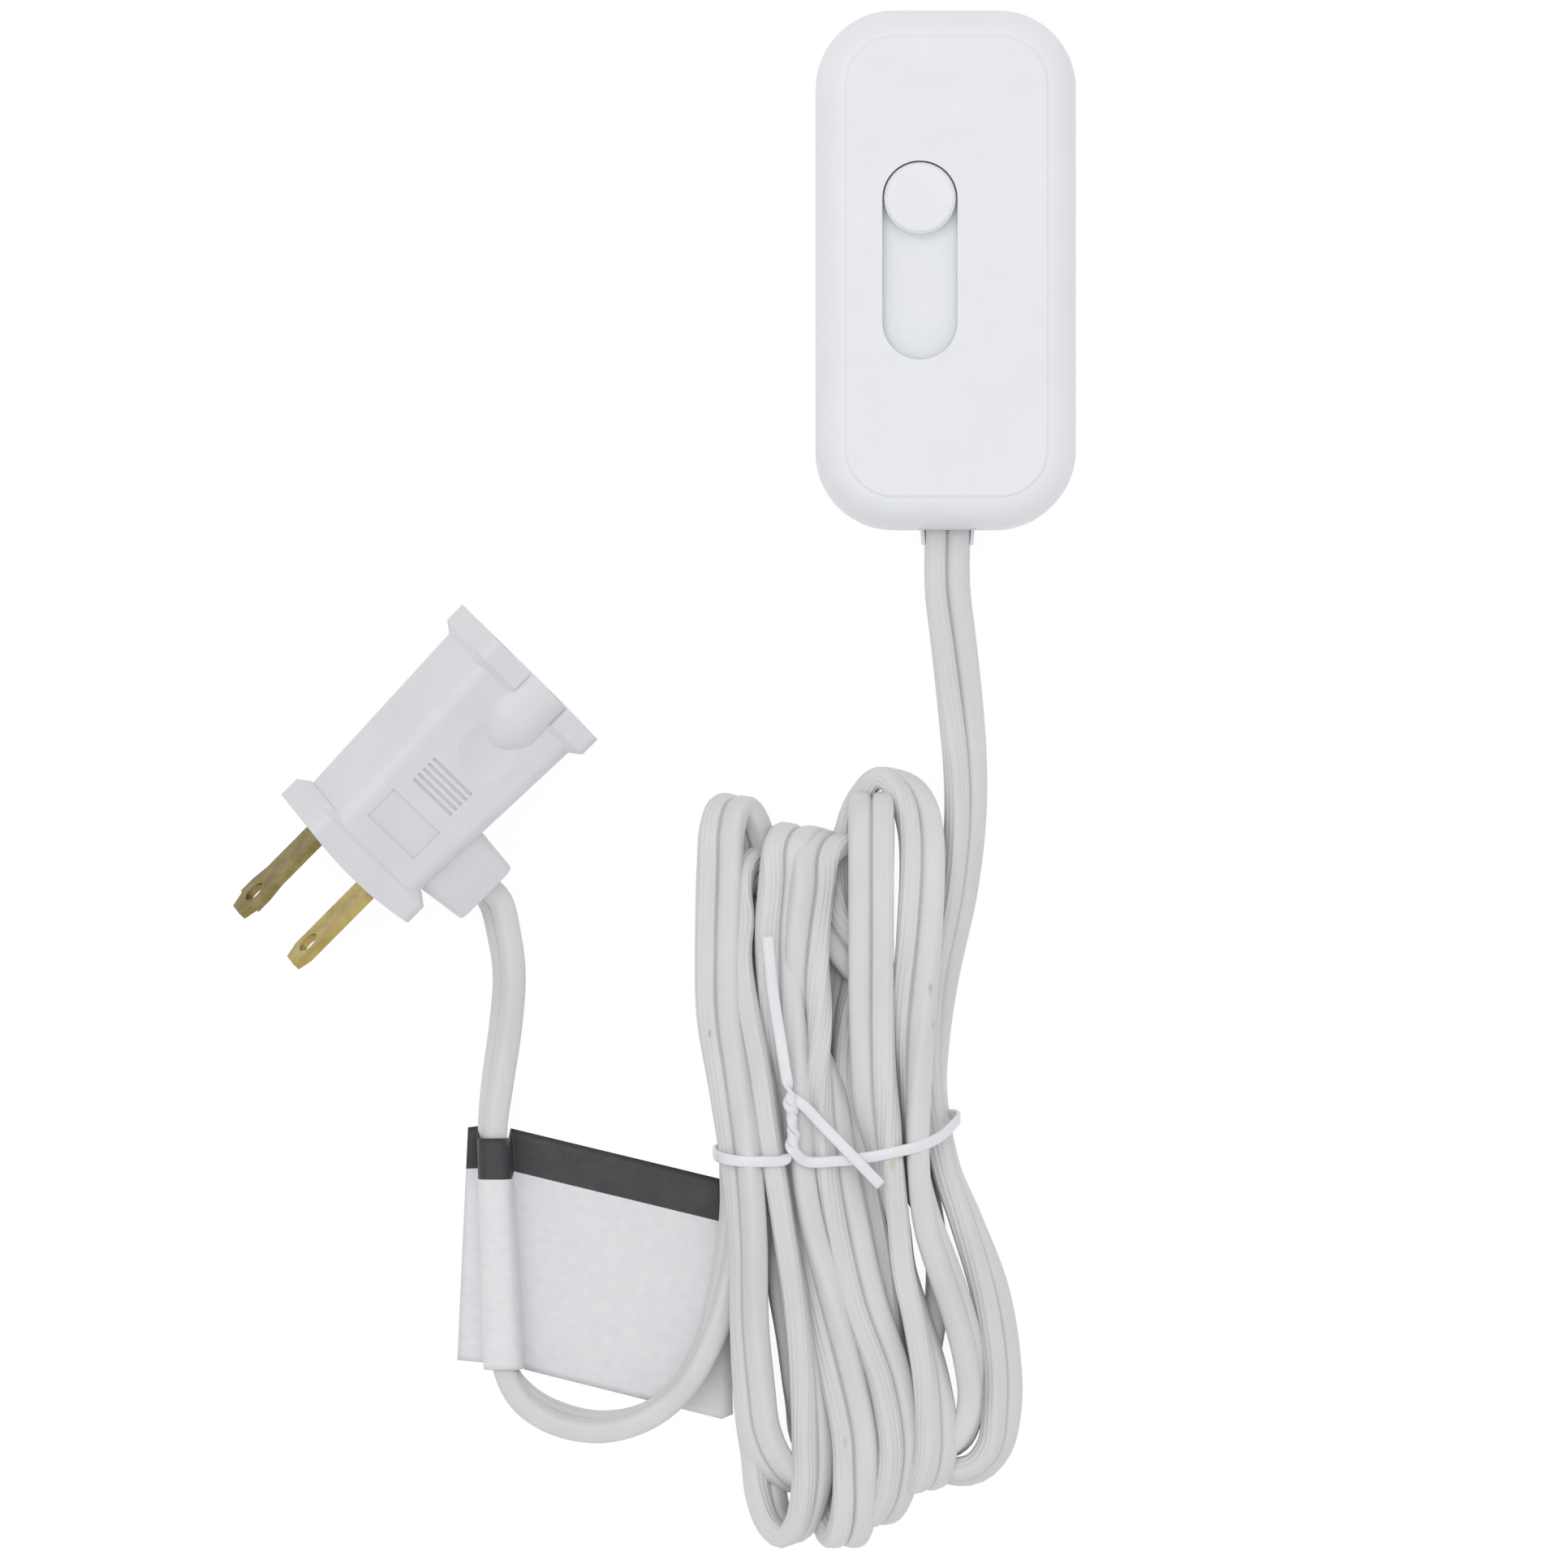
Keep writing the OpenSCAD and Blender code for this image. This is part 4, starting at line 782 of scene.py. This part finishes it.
def make_world():
    world = bpy.data.worlds.new("studio")
    world.use_nodes = True
    tree = world.node_tree
    light = tree.nodes["Background"]
    light.inputs["Color"].default_value = WHITE
    light.inputs["Strength"].default_value = WORLD_LIGHT
    backdrop = tree.nodes.new("ShaderNodeBackground")
    backdrop.inputs["Color"].default_value = WHITE
    backdrop.inputs["Strength"].default_value = 1
    shades = light.outputs["Background"], backdrop.outputs["Background"]
    mixed_surface(tree, white_rays(tree), *shades, "World Output")
    bpy.context.scene.world = world


def make_key_light():
    data = bpy.data.lights.new("key", "AREA")
    data.shape = "SQUARE"
    data.size = KEY_SIZE
    data.energy = KEY_POWER
    key = bpy.data.objects.new("key", data)
    key.location = KEY_PLACE
    aim = Vector((*PHOTO_MIDDLE, 0)) * MM - key.location
    key.rotation_euler = aim.to_track_quat("-Z", "Y").to_euler()
    bpy.context.collection.objects.link(key)


make_floor()
make_world()
make_key_light()


# The CAD nodes that stay: name, finish, round on the edges and the angle from which it is put on
def finish_node(name, material, edge=0.0, angle=30):
    """A node's material, and a fine round on its edges in millimetres."""
    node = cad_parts[name]
    node.data.materials.clear()
    node.data.materials.append(material)
    if edge:
        flat = node.modifiers.new("flat", "DECIMATE")
        flat.decimate_type = "DISSOLVE"
        flat.angle_limit = math.radians(1)
        bevel = node.modifiers.new("edge", "BEVEL")
        bevel.width = edge * MM
        bevel.segments = 3
        bevel.limit_method = "ANGLE"
        bevel.angle_limit = math.radians(angle)
        bevel.harden_normals = True


NODE_FINISHES = (
    ("top_cover", COVER, 0.3, 20),
    ("base_cover", BASE),
    ("cover_screws", STEEL),
    ("slider_knob", KNOB),
    ("slider_shutter", SHUTTER),
    ("slider_carriage", BLACK),
    ("wiper_contact", BRASS_INNER),
    ("circuit_board", BOARD),
    ("pot_frame", STEEL),
    ("resistance_track", CARBON),
    ("triac", BLACK),
    ("heat_spreader", ALUMINIUM),
    ("choke_core", FERRITE),
    ("choke_winding", COPPER),
    ("film_capacitor", CAPACITOR),
    ("resistors", RESISTOR),
    ("diac", BEAD),
    ("inner_wires", WIRE),
    ("plug_body", PLUG, 0.12),
    ("outlet_face", PLUG),
    ("wide_blade", BRASS_WIDE),
    ("narrow_blade", BRASS_NARROW),
    ("hot_contact", BRASS_INNER),
    ("plug_wires", WIRE),
)
for row in NODE_FINISHES:
    finish_node(*row)

bpy.context.scene.view_settings.view_transform = "Standard"
